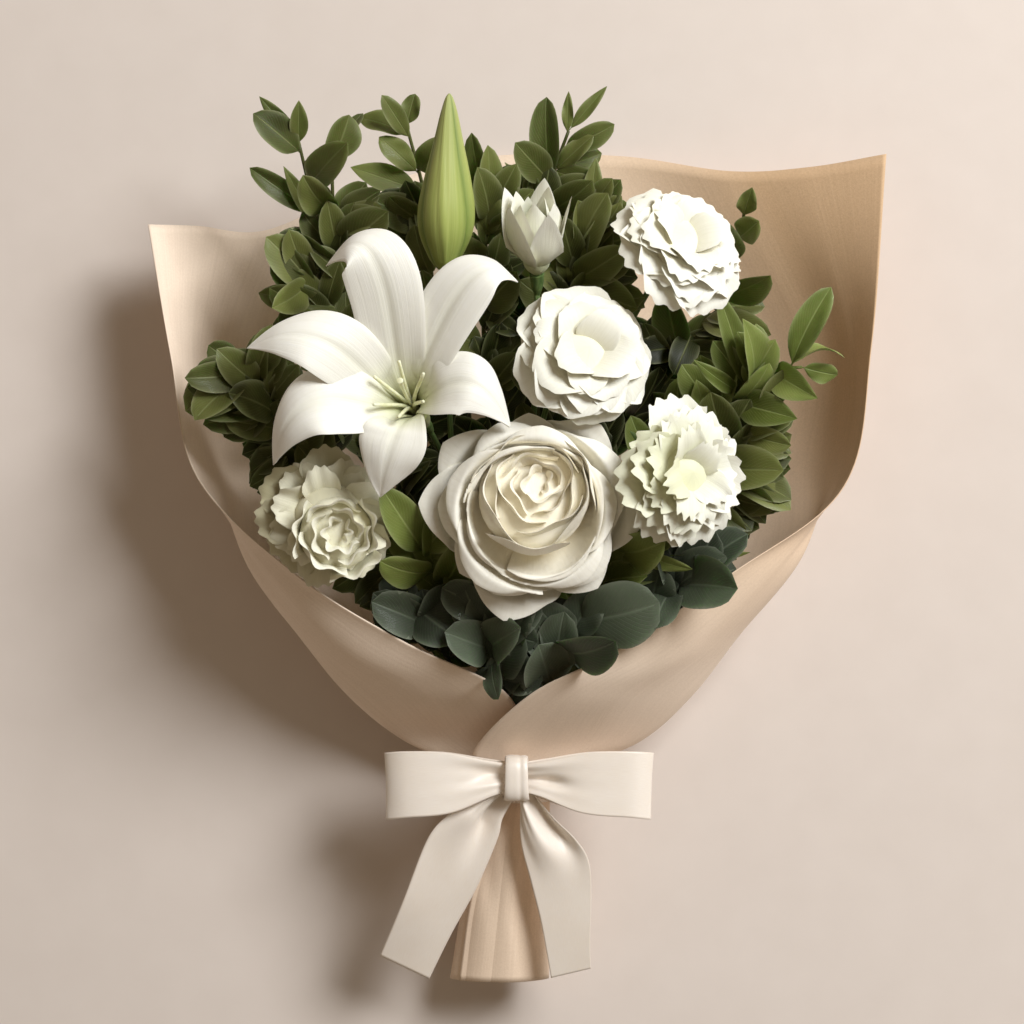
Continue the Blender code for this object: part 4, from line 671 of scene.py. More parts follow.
def strip_points(points, side, widths, s, u, fold):
    """Middle surface of a folded blade along a curve; widths are halves, root to tip."""
    side = np.array(Vector(side).normalized())
    ahead = heading(points, s)
    across = unit(side - ahead * (ahead @ side)[..., None])
    half = np.maximum(values(widths, s), 0.15)
    return beside(points, s, across, u * half, np.cross(across, ahead), half * np.abs(u) * fold)


def petal_points(matrix, angle, span, profile, s, u, phase, skew, rounding, tip, curl,
                 frill=0.0, folds=3.0, teeth=0.0):
    """Middle surface of a petal that stands round a bloom's axis."""
    reach = s * (1.0 - rounding * u * u + teeth * s * np.cos(folds * 2 * math.pi * u)
                 + tip * s * (1.0 - np.abs(u)) ** 2)
    here = spline_open(profile, reach)
    ahead = unit(spline_open(profile, reach + 0.02) - here)
    push = (skew * u * s + frill * s * s * np.sin(folds * math.pi * u + phase) + curl * s ** 4)
    radius = np.maximum(here[..., 0] + ahead[..., 1] * push, 0.3)
    return placed(round_the_axis(radius, angle + span * u, here[..., 1] - ahead[..., 0] * push),
                  matrix)


def fan_points(matrix, turn, lean, spread, length, half, root, s, u, phase, look):
    """Middle surface of a fan-shaped petal that bends outward towards its ruffled end."""
    knots = np.linspace(0.0, 1.2, 49)
    angle = lean * (0.4 + 0.6 * knots) + spread * knots ** 2
    step = length * (knots[1] - knots[0])
    radius = root[0] + np.concatenate([[0.0], np.cumsum(np.sin(angle[:-1]) * step)])
    height = root[1] + np.concatenate([[0.0], np.cumsum(np.cos(angle[:-1]) * step)])
    jag = 0.5 * np.cos(2 * math.pi * (u * 2.3 + phase))
    reach = s * (1.0 - look["round"] * np.abs(u) ** 2.4 + look["teeth"] * s ** 6 * jag)
    r, h, a = (np.interp(reach, knots, line) for line in (radius, height, angle))
    rise = np.clip(reach * 1.25, 0, 1)
    y = u * half * (0.10 + 0.90 * rise * rise * (3 - 2 * rise))
    waves = look["waves"]
    push = look["ruffle"] * reach ** 2.5 * (0.6 * np.sin(math.pi * waves * u + phase)
                                            + 0.4 * np.sin(7.2 * waves * u + 2.1 * phase))
    push = push - y * y / (2 * look["wrap"])
    x = r + np.cos(a) * push
    local = np.stack([x * math.cos(turn) - y * math.sin(turn),
                      x * math.sin(turn) + y * math.cos(turn), h - np.sin(a) * push], axis=-1)
    return placed(local, matrix)


def faced_points(points, faces, widths, s, u, curls, keel, wave):
    """Middle surface of a blade along a curve whose upper side looks the given ways."""
    ahead = heading(points, s)
    across = unit(np.cross(spline(faces, s), ahead))
    half = np.maximum(values(widths, s), 0.12)
    bend = spline([(v,) for v in curls], s)[..., 0]
    lift = half * bend * u * u + wave * np.sin(11.0 * s + 2.0 * np.sign(u)) * u * u * s
    lift = lift - keel * np.exp(-(u / 0.12) ** 2) * np.sin(math.pi * s)
    return beside(points, s, across, u * half, np.cross(ahead, across), lift)


# The ribbon bow

# Each tail lies between its left and its right edge.
LEFT_TAIL = (((-5, -128, 70), (-25, -141, 73), (-35, -149, 75), (-47, -163, 73),
              (-61, -198, 64), (-74.5, -231, 49)),
             ((2, -139, 66), (-5.5, -152, 65), (-8.5, -164, 63), (-20, -192, 57),
              (-34, -219, 50), (-47, -246, 42)))
RIGHT_TAIL = (((4.5, -139, 66), (5, -164, 66), (10.5, -187, 63), (16.5, -212, 59),
               (22, -243, 55)),
              ((9.5, -128, 70), (13, -138, 72), (23, -151, 73), (35, -163, 72),
               (42.5, -175, 69), (44.3, -192, 65), (43.8, -222, 60), (44.3, -237, 57)))
KNOT = Vector((2.5, -129.0, 68.0))
LOOPS = (
    ((2, 0, 0), (-14, 0, 8), (-38, -2, 12), (-62, -3, 11), (-72.5, -4.5, 4),
     (-62, -4, -3), (-38, -3, -4), (-14, -1, -3), (3, 0, 1)),
    ((-2, 0, 0), (14, 0, 8), (38, -2, 12), (64, -3, 11), (75, -4.5, 4),
     (64, -4, -3), (38, -3, -4), (14, -1, -3), (-3, 0, 1)),
)
LOOP_WIDTHS = (6.8, 9.8, 16.8, 18.3, 0.5 * RIBBON_WIDTH, 18.3, 16.8, 11.0, 7.5)
BAND_RADIUS = NECK_RADIUS + OVERLAP_GROWTH + 1.4
BAND_HALF = 5.5


def neck_band():
    """The ribbon's turn round the neck, in gathers."""
    turn = np.linspace(0, 2 * math.pi, 97)[:, None]
    u = np.linspace(-1, 1, 17)[None, :]
    radius = BAND_RADIUS + 0.40 * np.sin(5.0 * u) + 0.30 * np.sin(11.0 * u + 1.0)
    return np.array(NECK_CENTRE) + np.stack(np.broadcast_arrays(
        radius * np.sin(turn), u * BAND_HALF - 1.0, radius * np.cos(turn) + 0.3), axis=-1)


def knot_wrap():
    """The rounded band of the knot."""
    turn = np.linspace(0, 2 * math.pi, 65)
    u = np.linspace(-1, 1, 25)
    shrink = 1.0 - 0.07 * np.abs(u) ** 5 - 0.035 * np.exp(-((u - 0.35) / 0.22) ** 2)
    run, rise = np.cos(turn), np.sin(turn)
    y = np.copysign(12.6 * np.abs(run) ** 0.8, run)
    z = np.copysign(9.9 * np.abs(rise) ** 0.55, rise) + 3.0
    reach = 6.7 - 0.5 * np.cos(turn - 0.6)
    return np.array(KNOT) + np.stack([np.outer(reach, u), np.outer(y, shrink),
                                      np.outer(z, shrink)], axis=-1)


def gathered(points, s, u, number):
    """A ribbon loop whose spare width lies in soft pleats where it meets the knot."""
    side = np.array((0.0, 1.0, 0.0))
    ahead = heading(points, s)
    across = unit(side - ahead * (ahead @ side)[..., None])
    up = np.cross(across, ahead) * (1.0 if number else -1.0)
    width = values(LOOP_WIDTHS, s)
    spare = np.clip(1.0 - width / (0.5 * RIBBON_WIDTH), 0.0, 1.0)
    lean, deep = (-0.10, 0.150) if number else (0.25, 0.115)
    fold = 2.2 * spare * (np.cos(1.3 * math.pi * (u - lean)) - 0.2)
    fold = fold + 0.7 * spare * np.cos(3.4 * math.pi * u + number + 3.0 * s)
    dent = 3.4 * np.exp(-((s - deep) / 0.045) ** 2 - ((u - lean) / 0.28) ** 2)
    roll = 0.6 * np.sin(7.0 * s + number) * u * (1.0 - spare)
    return beside(points, s, across, u * width, up, fold + dent + roll)


def hump(u, middle, width):
    """1 at the middle, falling softly to either side."""
    return np.exp(-((u - middle) / width) ** 2)


def railed(left, right, s, u, number):
    """A ribbon tail between two edges, creased where it leaves the knot."""
    first, last = spline(left, s), spline(right, s)
    middle, half = 0.5 * (first + last), 0.5 * (last - first)
    up = unit(np.cross(unit(np.gradient(middle, axis=0)), half))
    near, beyond = hump(s, 0.0, 0.26), hump(s, 0.34, 0.16)
    ridge, valley = (-0.15, 0.60) if number else (-0.40, 0.38)
    fold = near * (3.4 * hump(u, ridge, 0.38) - 5.4 * hump(u, valley, 0.30)
                   + 0.8 * np.cos(4.2 * math.pi * u))
    fold = fold + beyond * (2.4 * hump(u, ridge, 0.45) - 5.6 * hump(u, valley, 0.32))
    curl = 0.9 * np.sin(5.0 * s + 2.0 * number) * u
    fold = (fold * (1.0 - np.abs(u) ** 6) + curl) * np.clip(s * 12.0, 0, 1)
    return middle + half * u[..., None] + up * fold[..., None]


def build_ribbon():
    """Neck band, knot, two loops and two tails of one cream satin ribbon."""
    piece = Piece()
    piece.skin(neck_band())
    piece.skin(knot_wrap())
    s, u = grid_of(130, 36)
    for number, route in enumerate(LOOPS):
        piece.skin(gathered([KNOT + Vector(offset) for offset in route], s, u, number))
    s, u = grid_of(100, 36)
    for number, rails in enumerate((LEFT_TAIL, RIGHT_TAIL)):
        piece.skin(railed(*rails, s, u, number))
    bow = piece.build("ribbon_bow_satin", satin_finish(), "cream_ribbon", "ribbon_bow", 60.0)
    thicken(bow, RIBBON_THICKNESS)


# Flower heads: places and ways as on the solids

LILY_THROAT = (-57.0, 80.0, 136.0)
LILY_BUD_BASE = (-36.5, 150.0, 118.0)
LILY_BUD_TIP = (-33.5, 242.0, 140.0)
LILY_TEPALS = (
    ((-73, 168, 163), (-99, 150, 138), 20.0, 110),
    ((-20, 153, 163), (3, 141, 143), 17.5, 52),
    ((-18, 90, 163), (-1, 64, 143), 17.5, -8),
    ((-66, 50, 160), (-70, 27, 144), 19.0, 285),
    ((-114, 80, 161), (-127, 44, 139), 19.5, 224),
    ((-106, 117, 162), (-141, 106, 141), 18.5, 166),
)
# Each bloom's base and axis, then its stem's name and radius and the size of its calyx.
BLOOMS = {
    "rose_bloom": ((11.5, 23.0, 95.0), (0.0, -0.10, 1.0), "rose_stem", 2.1, 1.0),
    "carnation_upper": ((82.0, 151.0, 112.0), (0.38, 0.50, 0.80), "carnation_upper_stem",
                        1.8, 0.92),
    "peony_bloom": ((31.5, 97.5, 118.0), (0.30, 0.26, 0.92), "peony_stem", 1.9, 0.97),
    "carnation_lower": ((82.0, 41.0, 120.0), (0.42, -0.02, 0.90), "carnation_lower_stem",
                        1.8, 0.98),
    "cream_bloom": ((-101.0, 18.0, 97.0), (0.08, -0.08, 1.0), "cream_stem", 1.8, 0.98),
    "rosebud_bloom": ((13.5, 149.0, 108.0), (-0.02, 0.78, 0.62), "rosebud_stem", 1.6, 0.8),
    "lily_bloom": ((-48.0, 68.0, 93.0), (-9.0, 12.0, 43.0), "lily_stem", 2.2, 0.9),
}
STEM_OF = {stem: bloom for bloom, (_, _, stem, _, _) in BLOOMS.items()}


def stand(bloom, spin=0.0):
    """Axes at a bloom's base, with Z along its axis."""
    base, axis = BLOOMS[bloom][:2]
    return frame_at(Vector(base), axis, spin)


def ring_of_petals(piece, matrix, count, start, span, profile, rounding, tint=0.0, loose=0.0,
                   rows=16, columns=16, **shape):
    """Petals set evenly round the axis, each a little different."""
    rng = random.Random(f"{SEED}{count}{start:.3f}{profile[-1]}")
    extra = random.Random(f"{SEED}extra{count}{start:.3f}")
    s, u = grid_of(rows, columns)
    for k in range(count):
        angle = start + 2.0 * math.pi * k / count + rng.uniform(-0.03, 0.03)
        reach = rng.uniform(0.95, 1.05)
        line = [(r * reach, h) for r, h in profile]
        line[-1] = (line[-1][0], line[-1][1] + rng.uniform(-1.5, 1.5))
        phase = rng.uniform(0.0, 6.0)
        angle += loose * extra.uniform(-0.3, 0.3)
        wide = span * (1.0 + loose * extra.uniform(-0.15, 0.15))
        grid = petal_points(matrix, angle, wide, line, s, u, phase, rounding=rounding, **shape)
        piece.blade(grid, PETAL_HALF, tint * extra.uniform(0.7, 1.3))


def rosette(piece, matrix, rng, count, radius, top, foot, drop, incurve, tints, eye=(0.0, 0.0),
            **shape):
    """Petals closed over one another in a spiral, their rims drawn in towards the eye."""
    s, u = grid_of(16, 18)
    s = s ** 0.7
    for k in range(count):
        f = k / (count - 1)
        belly = 3.0 + (radius - 3.0) * f ** 0.85
        rim = belly * (1.0 - incurve) - 1.0
        high = top - drop * f * f + rng.uniform(-1.2, 1.2)
        low = foot * (1.0 - 0.5 * f)
        rise = high - low
        line = [(0.3 * belly + 0.5, low), (0.88 * belly, low + 0.42 * rise),
                (belly, low + 0.70 * rise), (0.6 * belly + 0.4 * rim, low + 0.90 * rise),
                (rim, high)]
        place = matrix @ Matrix.Translation((eye[0] * (1.0 - f), eye[1] * (1.0 - f), 0.0))
        grid = petal_points(place, k * GOLDEN + rng.uniform(-0.25, 0.25),
                            1.20 - 0.45 * f + rng.uniform(-0.1, 0.1), line, s, u,
                            phase=rng.uniform(0, 6), **shape)
        piece.blade(grid, ROSETTE_HALF,
                    tints[0] + (tints[1] - tints[0]) * f + rng.uniform(-0.06, 0.06))


# The rose's outermost petals: the way and the reach of each.
ROSE_TIPS = ((0.01, 1.02), (0.91, 0.97), (1.62, 0.86), (2.50, 1.00), (3.08, 1.02), (3.85, 0.86),
             (4.45, 1.02), (5.40, 0.90))

# Its whorls: count, start, span, profile, rounding and tint.
ROSE_WHORLS = (
    (4, 0.5, 0.92, ((15, 25), (29, 33), (34.0, 43), (35, 50), (37, 51)), 0.26, 0.18),
    (5, 0.2, 0.80, ((15, 22), (30, 30), (36, 41), (39.5, 48.0), (45, 48)), 0.34, 0.08),
    (5, 0.6, 0.76, ((15, 15), (31, 22), (39, 34), (43.5, 41.5), (50, 40)), 0.42, 0.02),
)


def build_rose():
    """An open garden rose: a crowded creamy heart in a cup of broad rolled petals."""
    matrix = stand("rose_bloom")
    rng = random.Random(f"{SEED}rose")
    piece = Piece()
    heart = frame_at(matrix.translation + Vector((1.0, -2.0, 0.0)), (-0.03, 0.16, 1.0))
    piece.turned([(0.4, 0.5), (4, 1), (13, 6), (19, 16), (27, 31), (29, 44), (21, 51.2),
                  (0.3, 54.0)], heart, 0.35, 32, 24)
    rosette(piece, heart, rng, 17, 33.5, 57.5, 34.0, 3.0, 0.12, (0.50, 0.22), (4.0, 5.0),
            skew=0.9, rounding=0.22, tip=0.05, frill=1.6, folds=1.6, curl=4.6)
    for whorl in ROSE_WHORLS:
        ring_of_petals(piece, matrix, *whorl, loose=0.5, rows=24, columns=26, skew=1.8,
                       tip=0.10, curl=2.0, frill=1.5, folds=1.3)
    s, u = grid_of(24, 26)
    for angle, reach in ROSE_TIPS:
        line = [(11, 7), (31, 10), (43 * reach, 22), (49 * reach, 31), (55.5 * reach, 32)]
        grid = petal_points(matrix, angle, 0.60, line, s, u, 5 * angle, skew=1.5, rounding=0.48,
                            tip=0.20, curl=1.0, frill=1.4, folds=1.3)
        piece.blade(grid, PETAL_HALF, 0.02)
    finish = petal_finish("rose_petal", (0.94, 0.91, 0.81), (0.97, 0.87, 0.64),
                          (0.94, 0.91, 0.81))
    piece.build("rose_petals", finish, "white_petal", "rose_bloom")


# Colours of the other blooms' petals: base, heart and rim.
WHITE_PETAL = ("white_bloom_petal", (0.91, 0.89, 0.78), (0.84, 0.80, 0.48), (0.92, 0.91, 0.84))
IVORY_PETAL = ("ivory_bloom_petal", (0.89, 0.87, 0.70), (0.40, 0.36, 0.18), (0.90, 0.88, 0.74))
GREEN_PETAL = ("green_white_petal", (0.92, 0.91, 0.79), (0.66, 0.68, 0.30), (0.93, 0.92, 0.85))
# How a ruffled bloom's petals lie. The spread is in degrees, inner and outer; a rosette
# closes over the middle of the cream bloom.
# Painted shade: some heart colour on petals that point to the left, away from the lamp, and on the
# cream bloom's outer petals, whose darker olive is partly their own greener colour.
RUFFLED_LOOK = {"size": 0.97, "colours": WHITE_PETAL, "slot": "white_petal", "lean": 86.0,
                "uneven": 0.05, "outer_green_and_shade": 0.0, "length": 1.0, "wrap": 30.0,
                "shade_side": 0.12, "rosette": None}
WIDE_LOOK = {**RUFFLED_LOOK, "count": 24, "spread": (95.0, 52.0), "waves": 0.7}
LOOKS = {
    "carnation_upper": {**WIDE_LOOK, "spin": 0.3, "half": 24.0, "ruffle": 0.6, "teeth": 0.06,
                        "round": 0.36, "tint": 0.12},
    "peony_bloom": {**WIDE_LOOK, "spin": 1.1, "half": 25.0, "ruffle": 0.55, "teeth": 0.025,
                    "round": 0.40, "tint": 0.10, "length": 1.06},
    "carnation_lower": {**RUFFLED_LOOK, "spin": 0.9, "colours": GREEN_PETAL, "count": 26,
                        "spread": (80.0, 34.0), "half": 20.0, "ruffle": 1.3, "waves": 1.0,
                        "teeth": 0.085, "round": 0.27, "tint": 0.10, "uneven": 0.09,
                        "wrap": 22.0, "shade_side": 0.38},
    "cream_bloom": {**RUFFLED_LOOK, "size": 0.98, "spin": 0.5, "colours": IVORY_PETAL,
                    "slot": "ivory_petal", "count": 28, "lean": 90.0, "spread": (60.0, 30.0),
                    "half": 17.0, "ruffle": 2.0, "waves": 1.2, "teeth": 0.05, "round": 0.30,
                    "tint": 0.10, "outer_green_and_shade": 0.65, "uneven": 0.07, "wrap": 18.0,
                    "rosette": (11, 23.0, 47.0, 24.0, 5.0, 0.04, (0.12, 0.02), (2.0, 2.0))},
}
FAN_LEAN = 4.0
FAN_LENGTH = 42.0
ROSETTE_SHIFT = Vector((5.0, -9.0, 0.0))
ROSETTE_UPRIGHT = 0.3
ROSETTE_START = 0.4


def build_ruffled(name, look, finish):
    """A full double bloom, dense with ruffled petals that fan out over a dome."""
    scale = Matrix.Scale(look["size"], 4)
    matrix = stand(name, look["spin"]) @ scale
    rng = random.Random(f"{SEED}{name}")
    piece = Piece()
    piece.turned([(0.4, 0.3), (4, 1), (12, 7), (19, 18), (17, 29), (0.3, 35)], matrix)
    s, u = grid_of(14, 22)
    s = s ** 0.65
    inner, outer = (math.radians(angle) for angle in look["spread"])
    for k in range(look["count"]):
        f = k / (look["count"] - 1)
        lean = FAN_LEAN + (look["lean"] - FAN_LEAN) * f ** 0.75 + rng.uniform(-4, 4)
        length = (look["length"] * (FAN_LENGTH - 4.0 * f)
                  * (1.0 + look["uneven"] * rng.uniform(-1, 1)))
        half = look["half"] * (0.6 + 0.4 * f) * rng.uniform(0.85, 1.15)
        turn = k * GOLDEN + rng.uniform(-0.2, 0.2)
        phase = rng.uniform(0, 6)
        way = matrix.to_3x3() @ Vector((math.cos(turn), math.sin(turn), 0.0))
        # Each blade's tint draws it towards the heart colour: more in the middle of the bloom and
        # at random. The cream bloom's outer petals take its dark olive, partly their own greener
        # colour and partly painted shade. Petals that point left, away from the lamp, take more of
        # it as painted shade.
        tint = (look["tint"] * (1.0 - 0.8 * f) + rng.uniform(0, 0.10)
                + look["outer_green_and_shade"] * f ** 2 + look["shade_side"] * max(0.0, -way.x))
        if not (look["rosette"] and f < ROSETTE_START):
            grid = fan_points(matrix, turn, math.radians(lean), inner + (outer - inner) * f,
                              length, half,
                              (1.0 + 5.0 * f, 9.0 - 5.0 * f), s, u, phase, look)
            piece.blade(grid, FAN_HALF, tint)
    if look["rosette"]:
        base, axis = BLOOMS[name][:2]
        way = Vector(axis).normalized() * (1.0 - ROSETTE_UPRIGHT) + UP * ROSETTE_UPRIGHT
        place = frame_at(Vector(base) + ROSETTE_SHIFT, way) @ scale
        piece.turned([(0.4, 20), (12, 22), (20, 30), (17, 38), (0.3, 41)], place, 0.3)
        rosette(piece, place, rng, *look["rosette"], skew=1.0, rounding=0.20, tip=0.04,
                frill=1.8, folds=2.2, curl=4.2, teeth=0.02)
    piece.build(f"{name}_petals", finish, look["slot"], name)


def tepal_points(crest, tip, half_width, turn, outside, s, u):
    """A lily tepal: up the throat, out over its crest and down to its tip."""
    base, throat = Vector(BLOOMS["lily_bloom"][0]), Vector(LILY_THROAT)
    axis = (throat - base).normalized()
    crest, tip = Vector(crest), Vector(tip)
    out = crest - throat
    out = (out - axis * out.dot(axis)).normalized()
    turn = math.radians(turn)
    foot = Vector((math.cos(turn), math.sin(turn), 0.0))
    foot = (foot - axis * foot.dot(axis)).normalized()
    spread = 1.6 if outside else 0.0
    ridge = throat + (out * 0.7 + foot * 0.3).normalized() * 19.0 + axis * 9.0
    beyond = crest + (crest - (ridge + tip) * 0.5) * 0.42
    points = [base + foot * (2.0 + spread) + axis * 14.0,
              throat + foot * (7.5 + spread) - axis * 8.0, ridge]
    points += [ridge * (1 - t) ** 2 + beyond * 2 * t * (1 - t) + tip * t * t
               for t in (0.25, 0.5, 0.75, 1.0)]
    faces = [-foot, -foot + axis * 0.35, axis - out * 0.35, axis - out * 0.05,
             axis + out * 0.25, axis * 0.9 + out * 0.5, axis * 0.7 + out * 0.7]
    widths = [3.2, 6.4, 0.80 * half_width, half_width, 0.90 * half_width,
              0.58 * half_width, 0.2]
    return faced_points(points, faces, widths, s, u, (0.5, 0.42, 0.15, -0.05, -0.15, -0.2, 0.0),
                        keel=0.8, wave=1.3)


def build_lily():
    """The open lily: six recurved tepals on a short receptacle."""
    piece = Piece()
    piece.turned([(3.2, 0.0), (4.4, 5.0), (5.4, 10.0), (6.2, 18.0)], stand("lily_bloom"), 0.8)
    s, u = grid_of(48, 24)
    for number, tepal in enumerate(LILY_TEPALS):
        piece.blade(tepal_points(*tepal, number % 2 == 1, s, u), TEPAL_HALF, 0.0)
    finish = petal_finish("lily_tepal", (0.92, 0.90, 0.81), (0.36, 0.40, 0.07),
                          (0.92, 0.90, 0.83), 0.4, 0.38, 0.22)
    piece.build("lily_tepals", finish, "white_petal", "lily_bloom")


def build_stamens():
    """Six pale filaments and the pistil, rising from the lily's receptacle."""
    matrix = stand("lily_bloom")
    piece = Piece()
    piece.turned([(2.2, 18.6), (2.1, 22.0), (1.6, 25.0), (0.9, 28.0)], matrix)
    t = np.linspace(0, 1, 15)
    pistil = spline([(0, 0, 20), (0.5, 1, 45), (2, 3, 66)], t)
    piece.rod(placed(pistil, matrix), 1.0 - 0.15 * t + 0.9 * t ** 12)
    for k in range(6):
        turn = math.pi * (k + 0.5) / 3.0
        points = [(r * math.cos(turn), r * math.sin(turn), h)
                  for r, h in ((1.6, 20.0), (3.6, 38.0), (15.5, 61.0))]
        piece.rod(placed(spline(points, t), matrix), 1.2 - 0.3 * t)
    finish = plain_finish("filament_skin", (0.72, 0.73, 0.44), (0.86, 0.86, 0.64),
                          (400.0, 2.0), (0.3, 0.0002), 0.45, 0.4, subsurface=0.2)
    piece.build("lily_filaments", finish, "filament", "lily_stamens")


def build_lily_bud():
    """The closed lily bud: three ribbed tepals folded round each other to a point."""
    base, tip = Vector(LILY_BUD_BASE), Vector(LILY_BUD_TIP)
    length = (tip - base).length
    profile = [(3.4, 0.0), (8.0, 0.06), (13.6, 0.20), (14.8, 0.34), (12.0, 0.52), (8.2, 0.70),
               (4.6, 0.88), (2.2, 0.97), (0.5, 1.0)]
    rows, sides, twist = 60, 96, 0.5
    line = spline([(r, h * length) for r, h in profile], np.linspace(0, 1, rows + 1))
    height = line[:, 1:]
    turn = np.linspace(0, 2 * math.pi, sides, endpoint=False)
    lobe = np.abs(np.cos(1.5 * (turn + twist * height / length)))
    rib = np.exp(-((1.0 - lobe) / 0.02) ** 2)
    radius = line[:, :1] * (0.90 + 0.17 * lobe ** 0.6 + 0.05 * rib)
    piece = Piece()
    piece.tube(placed(round_the_axis(radius, turn, height), frame_at(base, tip - base, 0.6)),
               [base, tip], np.concatenate([lobe.ravel(), [0.5, 0.5]]))
    piece.build("lily_bud_skin", bud_finish(), "bud_green", "lily_bud")


def build_rosebud():
    """A white rosebud, just opening."""
    matrix = stand("rosebud_bloom")
    piece = Piece()
    piece.turned([(0.5, 0.2), (3, 0.5), (7.5, 7), (8.4, 20), (5.5, 33), (0.3, 38)], matrix)
    ring_of_petals(piece, matrix, 3, 0.4, 1.00, [(6, 12), (10, 27), (5, 44)], 0.22, 0.10,
                   skew=1.3, tip=0.08, curl=0.8)
    ring_of_petals(piece, matrix, 4, 0.9, 0.86, [(5, 10), (12.0, 25), (11, 44)], 0.42,
                   loose=0.5, skew=1.3, tip=0.16, curl=1.2)
    ring_of_petals(piece, matrix, 5, 1.4, 0.74, [(5, 5), (13.5, 20), (16.5, 41)], 0.50,
                   loose=0.5, skew=1.5, tip=0.22, curl=2.2)
    finish = petal_finish("bud_petal", (0.90, 0.90, 0.72), (0.50, 0.58, 0.22),
                          (0.92, 0.91, 0.82))
    piece.build("rosebud_petals", finish, "white_petal", "rosebud_bloom")


# Stem routes, as in the solids

def neck_slots(count):
    """Places of the stems in the tied neck, packed like round rods, in rows."""
    found = []
    reach = 4
    for row in range(-reach, reach + 1):
        for column in range(-reach, reach + 1):
            x = SLOT_SPACING * (column + 0.5 * (row % 2))
            z = SLOT_SPACING * row * math.sqrt(0.75)
            found.append((round(math.hypot(x, z), 4), x, z))
    nearest = sorted(found)[:count]
    rows = {}
    for _, x, z in nearest:
        rows.setdefault(round(z, 3), []).append(x)
    return [(z, sorted(xs)) for z, xs in sorted(rows.items(), reverse=True)]


def half_way(way):
    """Where a stem is headed as it leaves the neck."""
    if len(way) > 1:
        return way[0]
    reach = (way[0] - NECK_CENTRE) * 0.5
    return NECK_CENTRE + Vector((reach.x, reach.y, reach.z * 0.6))


def assign_slots(targets):
    """Give each stem the slot that lies on its side of the neck."""
    def slope(name, axis):
        way = targets[name] - NECK_CENTRE
        return way[axis] / max(way.y, 20.0)
    order = sorted(targets, key=lambda name: -slope(name, 2))
    slots = {}
    for z, xs in neck_slots(len(targets)):
        row, order = order[:len(xs)], order[len(xs):]
        for name, x in zip(sorted(row, key=lambda name: slope(name, 0)), xs):
            slots[name] = Vector((x, 0.0, z))
    return slots


def stem_route(slot, waypoints, end_direction):
    """Points from the neck to the end of a stem, through its waypoints."""
    start = NECK_CENTRE + slot + Vector((0.0, NECK_REACH[1], 0.0))
    end = waypoints[-1]
    way = end - start
    leave = start + Vector((0.12 * way.x, 0.30 * way.y + 8.0, 0.10 * way.z))
    arrive = end - Vector(end_direction).normalized() * (0.28 * way.length)
    steps = [k / (STEM_POINTS - 1) for k in range(STEM_POINTS)]
    if len(waypoints) == 1:
        return [start * (1 - t) ** 3 + leave * 3 * t * (1 - t) ** 2
                + arrive * 3 * t * t * (1 - t) + end * t ** 3 for t in steps]
    return [Vector(p) for p in spline([start, leave, *waypoints], steps)]


def relax_routes(routes, radii):
    """Bend stems clear of each other, of the wrap and of the flower heads."""
    wrap, balls = joined_tree(["kraft_paper"]), head_balls()
    rest = np.array([[tuple(p) for p in route] for route in routes.values()])
    shift = np.zeros_like(rest)
    count, points = rest.shape[:2]
    radii = np.array([radii[name] for name in routes])
    places = np.linspace(0.0, points - 1.0, RELAX_SAMPLES * (points - 1) + 1)
    weights = np.maximum(1.0 - np.abs(places[:, None] - np.arange(points)[None, :]), 0.0)
    owner = np.repeat(np.arange(count), len(places))
    seg_owner = np.repeat(np.arange(count), points - 1)
    clear = radii[owner][:, None] + radii[seg_owner][None, :] + ROD_CLEARANCE
    same = owner[:, None] == seg_owner[None, :]
    free = np.ones((count, points, 1))
    free[:, :1] = 0.0
    free[:, -2:] = 0.0
    for _ in range(RELAX_STEPS):
        now = rest + shift
        flat = np.einsum("fp,npc->nfc", weights, now).reshape(-1, 3)
        start = now[:, :-1].reshape(-1, 3)
        edge = now[:, 1:].reshape(-1, 3) - start
        away = flat[:, None, :] - start[None, :, :]
        along = np.clip((away * edge).sum(2) / (edge * edge).sum(1), 0.0, 1.0)
        away -= along[..., None] * edge
        gap = np.sqrt((away * away).sum(2)) + 1e-6
        lack = np.where(same, 0.0, np.maximum(clear - gap, 0.0))
        move = away / gap[..., None] * (RELAX_PUSH * lack)[..., None]
        push = np.einsum("fp,nfc->npc", weights, move.sum(1).reshape(count, len(places), 3))
        back = (-move * (1.0 - along)[..., None]).sum(0).reshape(count, points - 1, 3)
        push[:, :-1] += back
        push[:, 1:] += (-move * along[..., None]).sum(0).reshape(count, points - 1, 3)
        for i, name in enumerate(routes):
            for k in range(1, points - 2):
                push[i, k] += push_off(Vector(now[i, k]), radii[i], STEM_OF.get(name), wrap,
                                       balls)
        shift += push * free
        smooth = shift.copy()
        smooth[:, 1:-1] = 0.5 * (shift[:, :-2] + shift[:, 2:])
        shift = (shift + RELAX_SMOOTHING * (smooth - shift)) * free
    return {name: [Vector(p) for p in line] for name, line in zip(routes, rest + shift)}


def push_off(place, girth, bloom, wrap, balls):
    """The way that a point of a stem is pushed by other blooms and by the wrap."""
    push = np.zeros(3)
    for name, centre, radius in balls:
        way = place - centre
        if name != bloom and way.length < radius + girth:
            way.z -= 0.6 * radius
            push += np.array(way.normalized()) * 0.5
    reach = girth + WRAP_CLEARANCE
    hit, _, _, gap = wrap.find_nearest(place, reach)
    if hit is not None and gap > 1e-6:
        push += np.array((place - hit) / gap) * (reach - gap)
    return push


